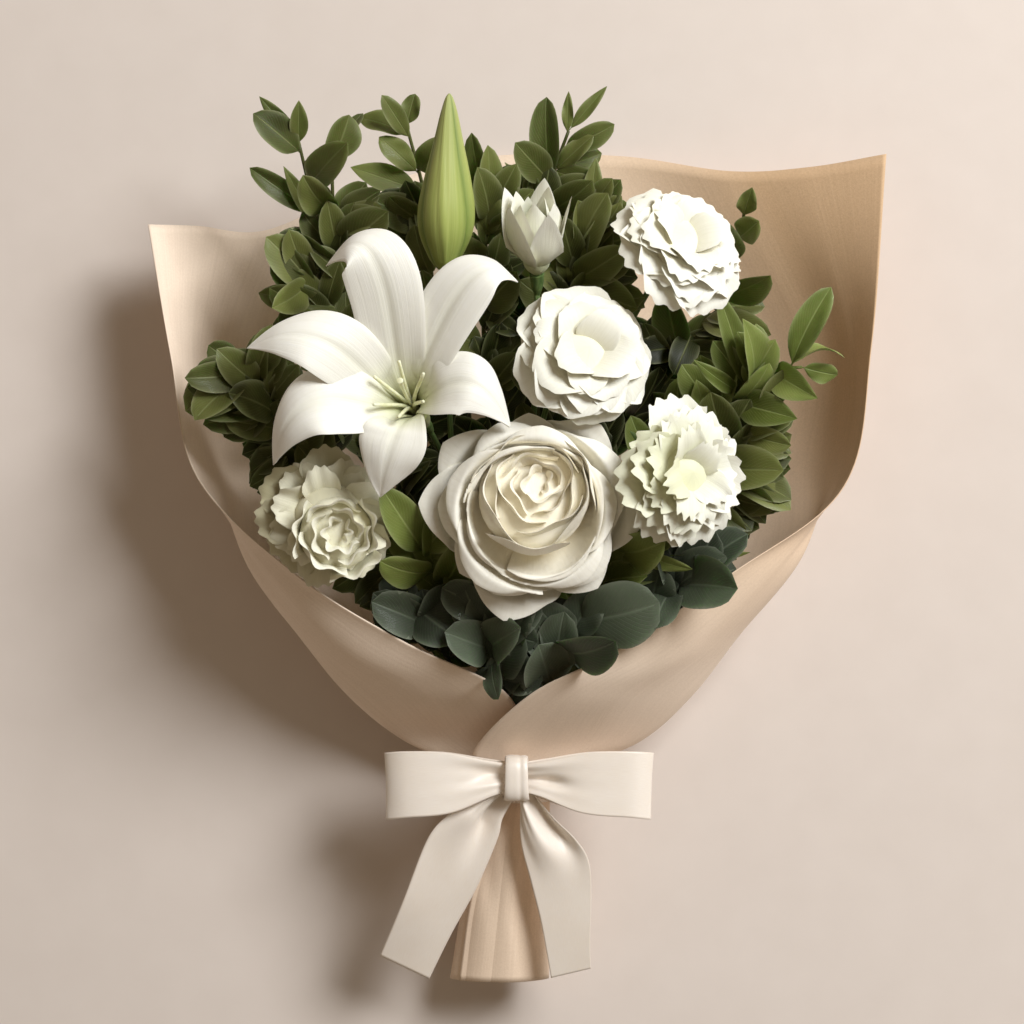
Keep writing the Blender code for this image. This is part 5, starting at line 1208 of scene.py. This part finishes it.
# Sepals as (radius, height) pairs with their half width.
DROOPING_SEPAL = (((3.0, -5.0), (9.0, -5.0), (18.0, -9.0), (25.0, -17.0)), 4.5)
SEPALS = {
    "rosebud_bloom": (((3.0, -4.0), (13.0, 0.0), (18.5, 14.0), (22.0, 31.0)), 4.0),
    "cream_bloom": (((3.0, -5.0), (10.0, -6.0), (21.0, -6.0), (31.0, -2.0)), 6.0),
}
# Rough balls on the blooms' axes: reach and radius. The lily has two.
HEAD_BALLS = (("rose_bloom", 46.0, 30.0), ("lily_bloom", 24.0, 16.0), ("lily_bloom", 60.0, 34.0),
              ("rosebud_bloom", 20.0, 18.0), ("lily_bud", 30.0, 17.0),
              *((name, 24.0 * LOOKS[name]["size"], 26.0 * LOOKS[name]["size"])
                for name in LOOKS))
LILY_BUD_WAY = (0.0, 1.0, 0.2)


def head_balls():
    """Rough balls round the flower heads, for other stems to pass under."""
    places = {name: row[:2] for name, row in BLOOMS.items()}
    places["lily_bud"] = (LILY_BUD_BASE, LILY_BUD_WAY)
    return [(name, Vector(places[name][0]) + Vector(places[name][1]).normalized() * reach, radius)
            for name, reach, radius in HEAD_BALLS]


def leaf(root, tip, width, outline="ovate", bend=0.5, fold=0.25, face=(0.0, 0.0, 1.0)):
    """One leaf of a spray, as its designer wants it."""
    return {"root": Vector(root), "tip": Vector(tip), "width": width, "outline": outline,
            "bend": bend, "fold": fold, "face": face}


# Each spray: its kind, the way of its stem, how many more leaves grow along it with their
# length, width and outline, and its own leaves: root, tip, width, outline, bend, fold, face.
SPRAYS = {
    "ruscus_far_left": ("ruscus", ((-62, 0, 34), (-92, 110, 62), (-106, 172, 80), (-117, 222, 94)),
        (3, 40, 22, "ovate"), (
        ((-118, 226, 95), (-138, 246, 101), 10, "lance"),
        ((-115, 216, 93), (-141, 236, 99), 21, "ovate", 0.6, 0.35, (0.3, -0.2, 1)),
        ((-116, 221, 93), (-116, 243, 100), 11, "lance", 0.4),
        ((-114, 212, 91), (-99, 206, 99), 12, "round", 0.4),
        ((-109, 182, 84), (-144, 208, 93), 15, "ovate", 0.5, 0.5, (-0.3, 0.3, 1)),
        ((-107, 176, 82), (-121, 212, 88), 10, "lance", 0.4))),
    "ruscus_left": ("ruscus", ((-42, 30, 34), (-84, 118, 66), (-97, 171, 80), (-99, 214, 93)),
        (4, 42, 24, "ovate"), (
        ((-100, 211, 92), (-89, 236, 101), 22, "ovate", 0.6, 0.3, (0.3, -0.1, 1)),
        ((-99, 214, 93), (-79, 243, 105), 13, "ovate", 0.5, 0.3, (-0.2, 0.5, 1)),
        ((-98, 178, 82), (-80, 200, 92), 19, "ovate", 0.5),
        ((-98, 190, 86), (-110, 200, 94), 12, "ovate", 0.4))),
    "ruscus_mid": ("ruscus", ((-26, 44, 34), (-42, 120, 62), (-46, 180, 78), (-58, 232, 93)),
        (5, 41, 25, "ovate"), (
        ((-56, 224, 91), (-71, 246, 99), 12, "ovate", 0.4),
        ((-58, 231, 93), (-53, 248, 97), 12, "ovate", 0.4),
        ((-57, 226, 91), (-84, 236, 95), 15, "ovate", 0.5, 0.3, (0.1, 0.5, 1)),
        ((-51, 206, 86), (-73, 225, 93), 15, "ovate", 0.5),
        ((-48, 196, 83), (-89, 209, 87), 17, "lance", 0.5))),
    "bud_leaves": ("ruscus", ((-13, 60, 42), (-16, 130, 64), (-14, 172, 82), (-11, 192, 90)),
        (6, 46, 27, "ovate"), (
        ((-13, 180, 86), (-22, 226, 103), 17, "ovate", 0.5, 0.3, (-0.2, 0, 1)),
        ((-13, 176, 84), (-7, 220, 99), 18, "ovate", 0.5, 0.3, (0.3, 0, 1)))),
    "ruscus_top": ("ruscus", ((8, 60, 38), (12, 140, 58), (18, 190, 80), (31, 228, 94)),
        (4, 42, 22, "ovate"), (
        ((21, 202, 85), (19, 246, 99), 20, "ovate", 0.5, 0.4, (-0.4, 0, 1)),
        ((23, 207, 87), (34, 240, 103), 15, "ovate", 0.5),
        ((30, 226, 94), (31, 249, 99), 7, "lance", 0.3),
        ((31, 228, 94), (52, 252, 98), 8, "lance", 0.3),
        ((28, 218, 91), (56, 231, 100), 15, "ovate", 0.6, 0.2, (0.2, -0.3, 1)),
        ((24, 206, 87), (50, 222, 96), 16, "ovate", 0.5),
        ((17, 186, 79), (-4, 212, 84), 9, "lance", 0.3))),
    "round_leaf_spray": ("ruscus", ((22, 64, 48), (30, 120, 64), (36, 160, 84), (47, 192, 92)),
        (6, 46, 27, "round"), (
        ((42, 178, 90), (46, 213, 98), 12, "lance", 0.4),
        ((34, 152, 82), (52, 192, 106), 24, "round", 0.7, 0.2, (-0.5, 0.2, 1)),
        ((33, 146, 80), (62, 162, 106), 21, "round", 0.8, 0.2, (-0.2, -0.3, 1)),
        ((36, 160, 84), (2, 202, 94), 12, "lance", 0.4))),
    "right_upper_spray": ("ruscus", ((52, 56, 38), (104, 120, 58), (124, 166, 80), (128, 186, 90)),
        (6, 46, 27, "ovate"), (
        ((127, 182, 88), (131, 196, 97), 12, "lance", 0.4),
        ((125, 170, 83), (135, 178, 101), 17, "ovate", 0.5),
        ((113, 140, 68), (141, 148, 104), 24, "ovate", 0.6, 0.3, (0.5, 0, 1)),
        ((106, 124, 61), (142, 116, 96), 20, "ovate", 0.6, 0.3, (0.5, 0, 1)))),
    "right_spray": ("fresh", ((62, 24, 48), (112, 68, 84), (134, 94, 98), (158, 98, 104)),
        (5, 44, 22, "lance"), (
        ((127, 86, 94), (110, 140, 127), 15, "lance", 0.5, 0.3, (0.4, 0.1, 1)),
        ((126, 84, 93), (98, 101, 122), 10, "lance", 0.7, 0.2, (0, -0.3, 1)),
        ((152, 97, 103), (173, 141, 113), 19, "ovate", 0.6, 0.4, (-0.5, 0.2, 1)),
        ((151, 97, 103), (183, 108, 116), 15, "lance", 1.9, 0.2, (0, 1, 0.5)),
        ((158, 98, 104), (178, 94, 99), 13, "ovate", 0.5, 0.2, (0, -0.3, 1)))),
    "right_low_spray": ("ruscus", ((58, -14, 46), (106, 36, 74), (128, 64, 98), (136, 74, 106)),
        (6, 46, 26, "ovate"), (
        ((127, 62, 97), (151, 55, 116), 17, "ovate", 0.9, 0.3, (0.2, -0.2, 1)),
        ((116, 46, 84), (152, 20, 104), 23, "ovate", 0.6, 0.3))),
    "strap_leaf_spray": ("fresh", ((28, -60, 58), (52, -12, 86), (62, 4, 100)),
        (5, 44, 24, "ovate"), (
        ((61, 2, 98), (98, -12, 112), 12, "strap", 0.9, 0.2, (0, -0.4, 1)),
        ((56, -6, 91), (130, -3, 104), 11, "strap", 0.6, 0.2, (0, -0.5, 1)))),
    "left_upper_spray": ("ruscus", ((-56, 8, 50), (-84, 92, 62), (-108, 138, 80), (-118, 152, 90)),
        (6, 46, 27, "ovate"), (
        ((-110, 142, 83), (-134, 169, 98), 25, "ovate", 0.7, 0.3, (0.4, 0, 1)),
        ((-104, 131, 77), (-140, 140, 90), 18, "ovate", 0.6))),
    "left_spray": ("ruscus", ((-60, -10, 54), (-116, 44, 66), (-134, 82, 88), (-148, 98, 98)),
        (6, 46, 27, "ovate"), (
        ((-144, 94, 95), (-178, 74, 105), 32, "round", 0.7, 0.15, (0.1, 0.3, 1)),
        ((-132, 80, 86), (-158, 60, 94), 23, "ovate", 0.6, 0.2, (0.2, 0.2, 1)),
        ((-138, 88, 91), (-124, 110, 104), 18, "ovate", 0.6),
        ((-148, 98, 98), (-166, 110, 100), 17, "ovate", 0.5))),
    "centre_leaves": ("fresh", ((-26, -50, 58), (-44, -12, 88), (-50, 0, 102)),
        (5, 44, 24, "ovate"), (
        ((-48, -4, 97), (-70, 32, 124), 23, "ovate", 0.7, 0.3, (0.3, -0.3, 1)),
        ((-46, -8, 92), (-22, 18, 112), 18, "ovate", 0.6, 0.3, (-0.2, -0.2, 1)))),
    "eucalyptus_left": ("sage", ((-18, -92, 60), (-52, -34, 92)), (5, 40, 30, "round"), (
        ((-52, -34, 92), (-30, -50, 104), 30, "round", 0.8, 0.1, (0.2, -0.2, 1)),
        ((-48, -41, 88), (-76, -38, 100), 24, "round", 0.7, 0.1, (-0.3, -0.2, 1)),
        ((-52, -34, 92), (-74, -14, 104), 24, "round", 0.6))),
    "eucalyptus_centre": ("sage", ((-6, -92, 66), (-14, -34, 100)), (5, 40, 30, "round"), (
        ((-13, -40, 96), (14, -52, 104), 26, "round", 0.8, 0.1, (0, -0.5, 1)),
        ((-10, -62, 84), (-12, -88, 88), 18, "round", 0.6, 0.1, (0, -0.6, 1)),
        ((-14, -34, 100), (-38, -22, 112), 24, "round", 0.7))),
    "eucalyptus_right": ("sage", ((14, -92, 66), (36, -40, 100)), (5, 40, 30, "round"), (
        ((36, -40, 100), (80, -30, 110), 40, "round", 0.6, 0.1, (0.1, -0.4, 1)),
        ((30, -54, 91), (56, -60, 100), 24, "round", 0.6, 0.1, (0.3, -0.4, 1)),
        ((32, -50, 94), (14, -32, 110), 26, "round", 0.7, 0.1, (-0.3, -0.2, 1)))),
    "eucalyptus_far_right": ("sage", ((30, -84, 58), (78, -36, 84), (98, -14, 100)),
        (5, 40, 30, "round"), (
        ((96, -16, 98), (126, -16, 104), 24, "round", 0.7, 0.1, (0.2, -0.3, 1)),
        ((86, -28, 91), (104, -40, 100), 22, "round", 0.6, 0.1, (0.2, -0.4, 1)))),
}
# Each kind's dark and light, its ribs, its under side and its gloss.
LEAF_LOOKS = {
    "ruscus": ((0.018, 0.022, 0.003), (0.185, 0.200, 0.052), (0.27, 0.29, 0.12),
               (0.36, 0.38, 0.20)),
    "fresh": ((0.055, 0.075, 0.006), (0.27, 0.32, 0.085), (0.36, 0.41, 0.16),
              (0.38, 0.42, 0.20)),
    "sage": ((0.010, 0.014, 0.007), (0.096, 0.118, 0.074), (0.16, 0.19, 0.13),
             (0.22, 0.25, 0.18), 0.6),
}
# Ways to lay a leaf where its first place is taken: lift, turn in degrees, size.
LEAF_MOVES = (
    (0, 0, 1.0), (7, 0, 1.0), (-7, 0, 1.0), (12, 8, 0.95), (-12, 8, 0.92), (-12, -8, 0.92),
    (18, 0, 0.9), (-16, 0, 0.85), (24, 12, 0.8), (0, -32, 0.8), (10, 45, 0.7), (10, -45, 0.7),
)


def nearest_on(points, target):
    """Point of a polyline that is nearest to the target."""
    best = None
    for a, b in zip(points[:-1], points[1:]):
        edge = b - a
        along = max(0.0, min(1.0, (target - a).dot(edge) / edge.length_squared))
        point = a + edge * along
        if best is None or (point - target).length < (best - target).length:
            best = point
    return best


def fill_leaves(name, route, amount):
    """More leaves along a spray's stem, alternate and each a little different."""
    count, length, width, outline = amount
    rng = random.Random(f"{SEED}{name}")
    leaves = []
    for k in range(count):
        t = FILL_START + (0.94 - FILL_START) * (k + rng.uniform(0.1, 0.9)) / count
        root = Vector(spline(route, t))
        ahead = Vector(spline(route, min(t + 0.03, 1.0)) - spline(route, t - 0.03)).normalized()
        side = ahead.cross(UP).normalized() * (-1.0) ** k
        way = (ahead * rng.uniform(0.35, 0.8) + side * rng.uniform(0.5, 1.0)
               + UP * rng.uniform(0.45, 0.95)).normalized()
        size = rng.uniform(0.82, 1.12)
        leaves.append(leaf(root, root + way * length * size, width * size, outline,
                           rng.uniform(0.5, 1.0), rng.uniform(0.15, 0.4),
                           (rng.uniform(-0.4, 0.4), rng.uniform(-0.5, 0.3), 1.0)))
    return leaves


def moved_way(spec, root, move):
    """Where a leaf's tip lies from its root after one of the moves, and its size."""
    lift, turn, size = move
    way = (spec["tip"] - root) * size
    way = Matrix.Rotation(math.radians(turn), 3, "Z") @ way
    way.z += lift
    return way, size


def leaf_in_solid(spec, route, tree, rows):
    """The way of a leaf as the solid has it, or None where the solid has none."""
    root = nearest_on(route, spec["root"])
    places = [(k / rows, side) for k in range(1, rows) for side in (-1.0, 1.0)] + [(1.0, 0.0)]
    s, u = np.array(places).T
    for move in LEAF_MOVES:
        way, size = moved_way(spec, root, move)
        points = leaf_points(spec, root, way, s, u, size)
        gaps = [tree.find_nearest(Vector(p))[3] for p in points]
        if max(gaps) < LEAF_FIT:
            return root, way, size
    return None


def plan_stems():
    """Slots in the neck, routes and radii of every stem, as in the solids."""
    ways, ends, radii = {}, {}, {}
    for base, axis, name, radius, _ in BLOOMS.values():
        ends[name] = Vector(axis).normalized()
        ways[name] = [Vector(base) - ends[name] * CALYX_DEPTH]
        radii[name] = radius
    for name, (_, way, _, _) in SPRAYS.items():
        ways[name] = [Vector(p) for p in way]
        ends[name] = (ways[name][-1] - ways[name][-2]).normalized()
        radii[name] = SPRAY_RADIUS
    slots = assign_slots({name: half_way(way) for name, way in ways.items()})
    routes = relax_routes({name: stem_route(slots[name], way, ends[name])
                           for name, way in ways.items()}, radii)
    return {name: (slots[name], routes[name], radii[name], number)
            for number, name in enumerate(routes)}


def add_rod(piece, stem, tip_radius):
    """The round stem of a flower or spray, from its cut end inside the skirt to its tip."""
    slot, route, radius, number = stem
    cut = NECK_CENTRE + slot * CUT_SPREAD + CUT_SHIFT
    cut.y -= CUT_UNEVEN * math.sin(2.4 * number)
    neck = NECK_CENTRE + slot + Vector((0.0, NECK_REACH[0], 0.0))
    t = np.linspace(0, 1, STEM_STEPS + 1)
    taper = np.clip((t - TAPER_START) / (1.0 - TAPER_START), 0, 1)
    piece.rod(spline([cut, neck, *route], t), radius + (tip_radius - radius) * taper, STEM_TINT)


def build_flower_stem(bloom, stem, finish):
    """A flower's stem with its calyx and sepals."""
    _, _, name, _, size = BLOOMS[bloom]
    piece = Piece()
    add_rod(piece, stem, FLOWER_TIP)
    if bloom == "lily_bloom":
        piece.turned([(2.0, -15.0), (3.2, -6.0), (3.4, -NODE_GAP)], stand(bloom))
        root = Vector(spline(stem[1], BUD_FORK))
        bud, tip = Vector(LILY_BUD_BASE), Vector(LILY_BUD_TIP)
        ahead = (tip - bud).normalized()
        end = bud - ahead * NODE_GAP
        collar = end - ahead * BUD_COLLAR
        middle = root.lerp(collar, 0.5) - UP * BUD_STALK_SAG
        t = np.linspace(0, 1, 25)
        piece.rod(spline([root, middle, collar, end], t), values(BUD_STALK, t))
    else:
        matrix = stand(bloom, 0.3 if bloom == "rosebud_bloom" else 0.5)
        piece.turned([(1.4, -15.0), (2.6, -11.0), (4.2 * size, -8.0), (5.2 * size, -NODE_GAP)],
                     matrix)
        add_sepals(piece, matrix, joined_tree([name]), *SEPALS.get(bloom, DROOPING_SEPAL))
    piece.build(f"{name}_skin", finish, "stem_green", name)


def add_sepals(piece, matrix, tree, profile, half):
    """Sepals round a calyx, where the solid has them."""
    s, u = grid_of(14, 8)
    for k in range(4):
        turned = matrix @ Matrix.Rotation(2.0 * math.pi * k / 4, 4, "Z")
        points = [turned @ Vector((r, 0.0, h)) for r, h in profile]
        if tree.find_nearest(points[-1])[3] <= SEPAL_FIT:
            side = turned.to_3x3() @ Vector((0.0, 1.0, 0.0))
            widths = [0.5 * half, half, 0.7 * half, 0.2]
            piece.blade(strip_points(points, side, widths, s, u, 0.15), SEPAL_HALF)


def build_greens():
    """Every stem and leafy spray, with more leaves than the solids hold."""
    stems = plan_stems()
    stem_skin = plain_finish("stem_skin", (0.07, 0.13, 0.035), (0.19, 0.27, 0.09),
                             (12.0, 3.0, 3.0), (0.4, 0.0004), 0.5, 0.4, subsurface=0.05)
    for bloom, (_, _, name, _, _) in BLOOMS.items():
        build_flower_stem(bloom, stems[name], stem_skin)
    pieces = {}
    s, u = grid_of(14, 8)
    for name, (_, _, amount, rows) in SPRAYS.items():
        piece = pieces[name] = Piece()
        add_rod(piece, stems[name], SPRAY_TIP)
        route = stems[name][1]
        tree = joined_tree([name])
        rng = random.Random(f"{SEED}leaf{name}")
        specs = [(leaf(*row), 4 if row[2] > WIDE_LEAF else 3) for row in rows]
        specs += [(spec, 3) for spec in fill_leaves(name, route, amount)]
        for spec, tests in specs:
            fit = leaf_in_solid(spec, route, tree, tests)
            if fit:
                if spec["outline"] == "ovate":
                    spec["outline"] = "full"
                grid = leaf_points(spec, *fit[:2], s, u, fit[2], rng.uniform(0.5, 1.6),
                                   rng.uniform(-0.5, 0.5))
                piece.blade(grid, LEAF_HALF, rng.uniform(0.1, 0.9))
    cover_gaps(pieces, stems)
    finishes = {kind: leaf_finish(f"{kind}_blade", *look) for kind, look in LEAF_LOOKS.items()}
    for name, (kind, _, _, _) in SPRAYS.items():
        pieces[name].build(f"{name}_foliage", finishes[kind], f"{kind}_leaf", name)


# Leaves between the flower heads

HEADS = (*BLOOMS, "lily_bud", "lily_stamens")
FILL_ZONE = ((-140, 108), (-128, 128), (-130, 165), (-112, 182), (-62, 196), (4, 207),
             (59, 199), (66, 150), (70, 128), (103, 119), (130, 132), (150, 92), (150, 26),
             (125, -7), (70, -51), (2, -84), (-62, -51), (-130, -2), (-140, 34), (-150, 62),
             (-172, 70), (-175, 97), (-158, 106))
FILL_CELL = 4.0
FILL_COLUMNS = range(-46, 41)
FILL_ROWS = range(-22, 53)
FILL_PASSES = 3
FILL_LIMIT = 430
FILL_TRIES = 5
FILL_REACH = (12.0, 40.0)
FILL_CEILING = 117.0
FILL_CLEARANCE = 1.3
FILL_WIDEST = 27.0
BEST_RUN = 22.0
BEST_ROOT_HEIGHT = 78.0
LEVEL_DROP = 5.0
FILL_EDGE = 20.0
FAR_UP = 300.0


def inside(outline, x, y):
    """Whether a place lies within an outline."""
    hit = False
    for (x0, y0), (x1, y1) in zip(outline, outline[1:] + outline[:1]):
        if (y0 > y) != (y1 > y) and x < x0 + (x1 - x0) * (y - y0) / (y1 - y0):
            hit = not hit
    return hit


def open_cells():
    """Cells of the fill zone with no flower head over them."""
    heads = joined_tree(HEADS)
    cells = {}
    for i in FILL_COLUMNS:
        for j in FILL_ROWS:
            x, y = i * FILL_CELL, j * FILL_CELL
            if inside(FILL_ZONE, x, y) and heads.ray_cast(Vector((x, y, FAR_UP)), -UP)[0] is None:
                cells[i, j] = 0
    return cells


def carrier_points(name, route):
    """Places on a spray's stem where a leaf may grow, with the stem's way there."""
    line = spline(route, np.linspace(0.25, 0.98, 24))
    return [(Vector(a), Vector(b - a).normalized(), name) for a, b in zip(line[:-1], line[1:])]


def roots_near(carriers, x, y, rng):
    """Roots for a leaf over a place, the likeliest first."""
    near = []
    for place, way, name in carriers:
        run = math.hypot(place.x - x, place.y - y)
        if FILL_REACH[0] < run < FILL_REACH[1] and place.z < FILL_CEILING - 12.0:
            back = way.x * (x - place.x) + way.y * (y - place.y)
            near.append((abs(run - BEST_RUN) - 0.3 * back + rng.uniform(0.0, 9.0)
                         + 0.25 * abs(place.z - BEST_ROOT_HEIGHT), place, name))
    near.sort(key=lambda item: item[0])
    return [item[1:] for item in near[:FILL_TRIES]]


def leaf_over(root, x, y, level, broad, rng):
    """A leaf that reaches over a place, and the height it rises to."""
    run = math.hypot(root.x - x, root.y - y) + 5.0
    top = min(root.z + rng.uniform(4.0, 20.0) + 0.25 * run, FILL_CEILING)
    tip = root + Vector((x - root.x, y - root.y, 0.0)).normalized() * run
    tip.z = top - LEVEL_DROP * level
    wide = (tip - root).length * (rng.uniform(0.72, 0.88) if broad else rng.uniform(0.44, 0.58))
    return leaf(root, tip, min(wide, FILL_WIDEST), "round" if broad else "full",
                rng.uniform(0.4, 1.0), rng.uniform(0.1, 0.35),
                (rng.uniform(-0.5, 0.5), rng.uniform(-0.5, 0.5), 1.0)), top


def in_the_way(points, blocked, balls):
    """Whether a leaf's points leave the fill zone or come too near a head, the wrap or bow."""
    return any((p[1] < FILL_EDGE and not inside(FILL_ZONE, p[0], p[1]))
               or blocked.find_nearest(Vector(p), FILL_CLEARANCE)[0] is not None
               or any((Vector(p) - centre).length < radius for centre, radius in balls)
               for p in points)


def cover_gaps(pieces, stems):
    """Leaves that grow from the sprays' stems into the gaps between the flower heads."""
    rng = random.Random(SEED)
    blocked = joined_tree(HEADS + ("kraft_paper", "ribbon_bow"))
    balls = [(centre, 0.92 * radius) for _, centre, radius in head_balls()]
    gaps = open_cells()
    carriers = [point for name in pieces for point in carrier_points(name, stems[name][1])]
    s, u = grid_of(12, 6)
    tests = np.repeat([0.3, 0.5, 0.7, 0.85, 1.0], 3), np.tile([-0.9, 0.0, 0.9], 5)
    made = 0
    for level in range(FILL_PASSES):
        cells = sorted(gaps)
        rng.shuffle(cells)
        for cell in cells:
            if gaps[cell] > level or made >= FILL_LIMIT:
                continue
            x, y = cell[0] * FILL_CELL, cell[1] * FILL_CELL
            for root, name in roots_near(carriers, x, y, rng):
                broad = SPRAYS[name][0] == "sage"
                spec, top = leaf_over(root, x, y, level, broad, rng)
                way = spec["tip"] - root
                if in_the_way(leaf_points(spec, root, way, *tests), blocked, balls):
                    continue
                wave = rng.uniform(0.8, 2.4) if broad else rng.uniform(0.3, 1.2)
                grid = leaf_points(spec, root, way, s, u, 1.0, wave, rng.uniform(-0.4, 0.4))
                # Painted shade and light: besides a random tone, a leaf is lighter the higher it
                # rises and darker in later, lower passes.
                tint = rng.uniform(-0.15, 0.45) + 0.35 * (top - 85.0) / 30.0 - 0.12 * level
                pieces[name].blade(grid, FILL_LEAF_HALF, tint)
                made += 1
                for px, py, _ in grid[2:].reshape(-1, 3):
                    place = (round(px / FILL_CELL), round(py / FILL_CELL))
                    if gaps.get(place, FILL_PASSES) <= level:
                        gaps[place] = level + 1
                break


# Stage

CAMERA_PLACE = (0.0, 0.019, 1.7)
FIELD_WIDTH = 0.5632
FIELD_DISTANCE = 1.61
SENSOR = 36.0
FLOOR_REACH = 6.0
SKY_COLOUR = (1.0, 0.80, 0.58)
SKY_STRENGTH = 0.215
KEY_PLACE = (1.51, 1.34, 2.02)
KEY_COLOUR = (0.965, 0.985, 1.0)
KEY_POWER = 97.0
KEY_SIZE = 1.25


def set_down(name, data, place=(0.0, 0.0, 0.0)):
    """A new object of the scene at a place in metres."""
    made = bpy.data.objects.new(name, data)
    made.location = place
    bpy.context.scene.collection.objects.link(made)
    return made


def build_stage():
    """A plain pale floor, soft studio light and the camera straight above."""
    scene = bpy.context.scene
    mesh = bpy.data.meshes.new("floor")
    corners = [(x * FLOOR_REACH, y * FLOOR_REACH, 0)
               for x, y in ((-1, -1), (1, -1), (1, 1), (-1, 1))]
    mesh.from_pydata(corners, [], [(0, 1, 2, 3)])
    mesh.materials.append(plain_finish("pale_floor", (0.70, 0.62, 0.56), (0.72, 0.64, 0.58),
                                       (35.0, 5.0), (), 0.9, 0.15))
    set_down("floor", mesh)

    scene.camera = set_down("camera", bpy.data.cameras.new("camera"), CAMERA_PLACE)
    scene.camera.data.sensor_width = SENSOR
    scene.camera.data.lens = SENSOR * FIELD_DISTANCE / FIELD_WIDTH

    scene.world = bpy.data.worlds.new("studio")
    scene.world.use_nodes = True
    backdrop = scene.world.node_tree.nodes["Background"]
    backdrop.inputs["Color"].default_value = (*SKY_COLOUR, 1.0)
    backdrop.inputs["Strength"].default_value = SKY_STRENGTH
    scene.view_settings.view_transform = "Standard"

    light = bpy.data.lights.new("key", "AREA")
    light.energy, light.size, light.color = KEY_POWER, KEY_SIZE, KEY_COLOUR
    key = set_down("key", light, KEY_PLACE)
    key.rotation_euler = (-Vector(KEY_PLACE)).to_track_quat("-Z", "Y").to_euler()


def main():
    build_paper()
    build_ribbon()
    build_rose()
    finishes = {colours: petal_finish(*colours)
                for colours in (WHITE_PETAL, IVORY_PETAL, GREEN_PETAL)}
    for name, look in LOOKS.items():
        build_ruffled(name, look, finishes[look["colours"]])
    build_lily()
    build_stamens()
    build_lily_bud()
    build_rosebud()
    build_greens()
    build_stage()


main()
bpy.context.view_layer.update()
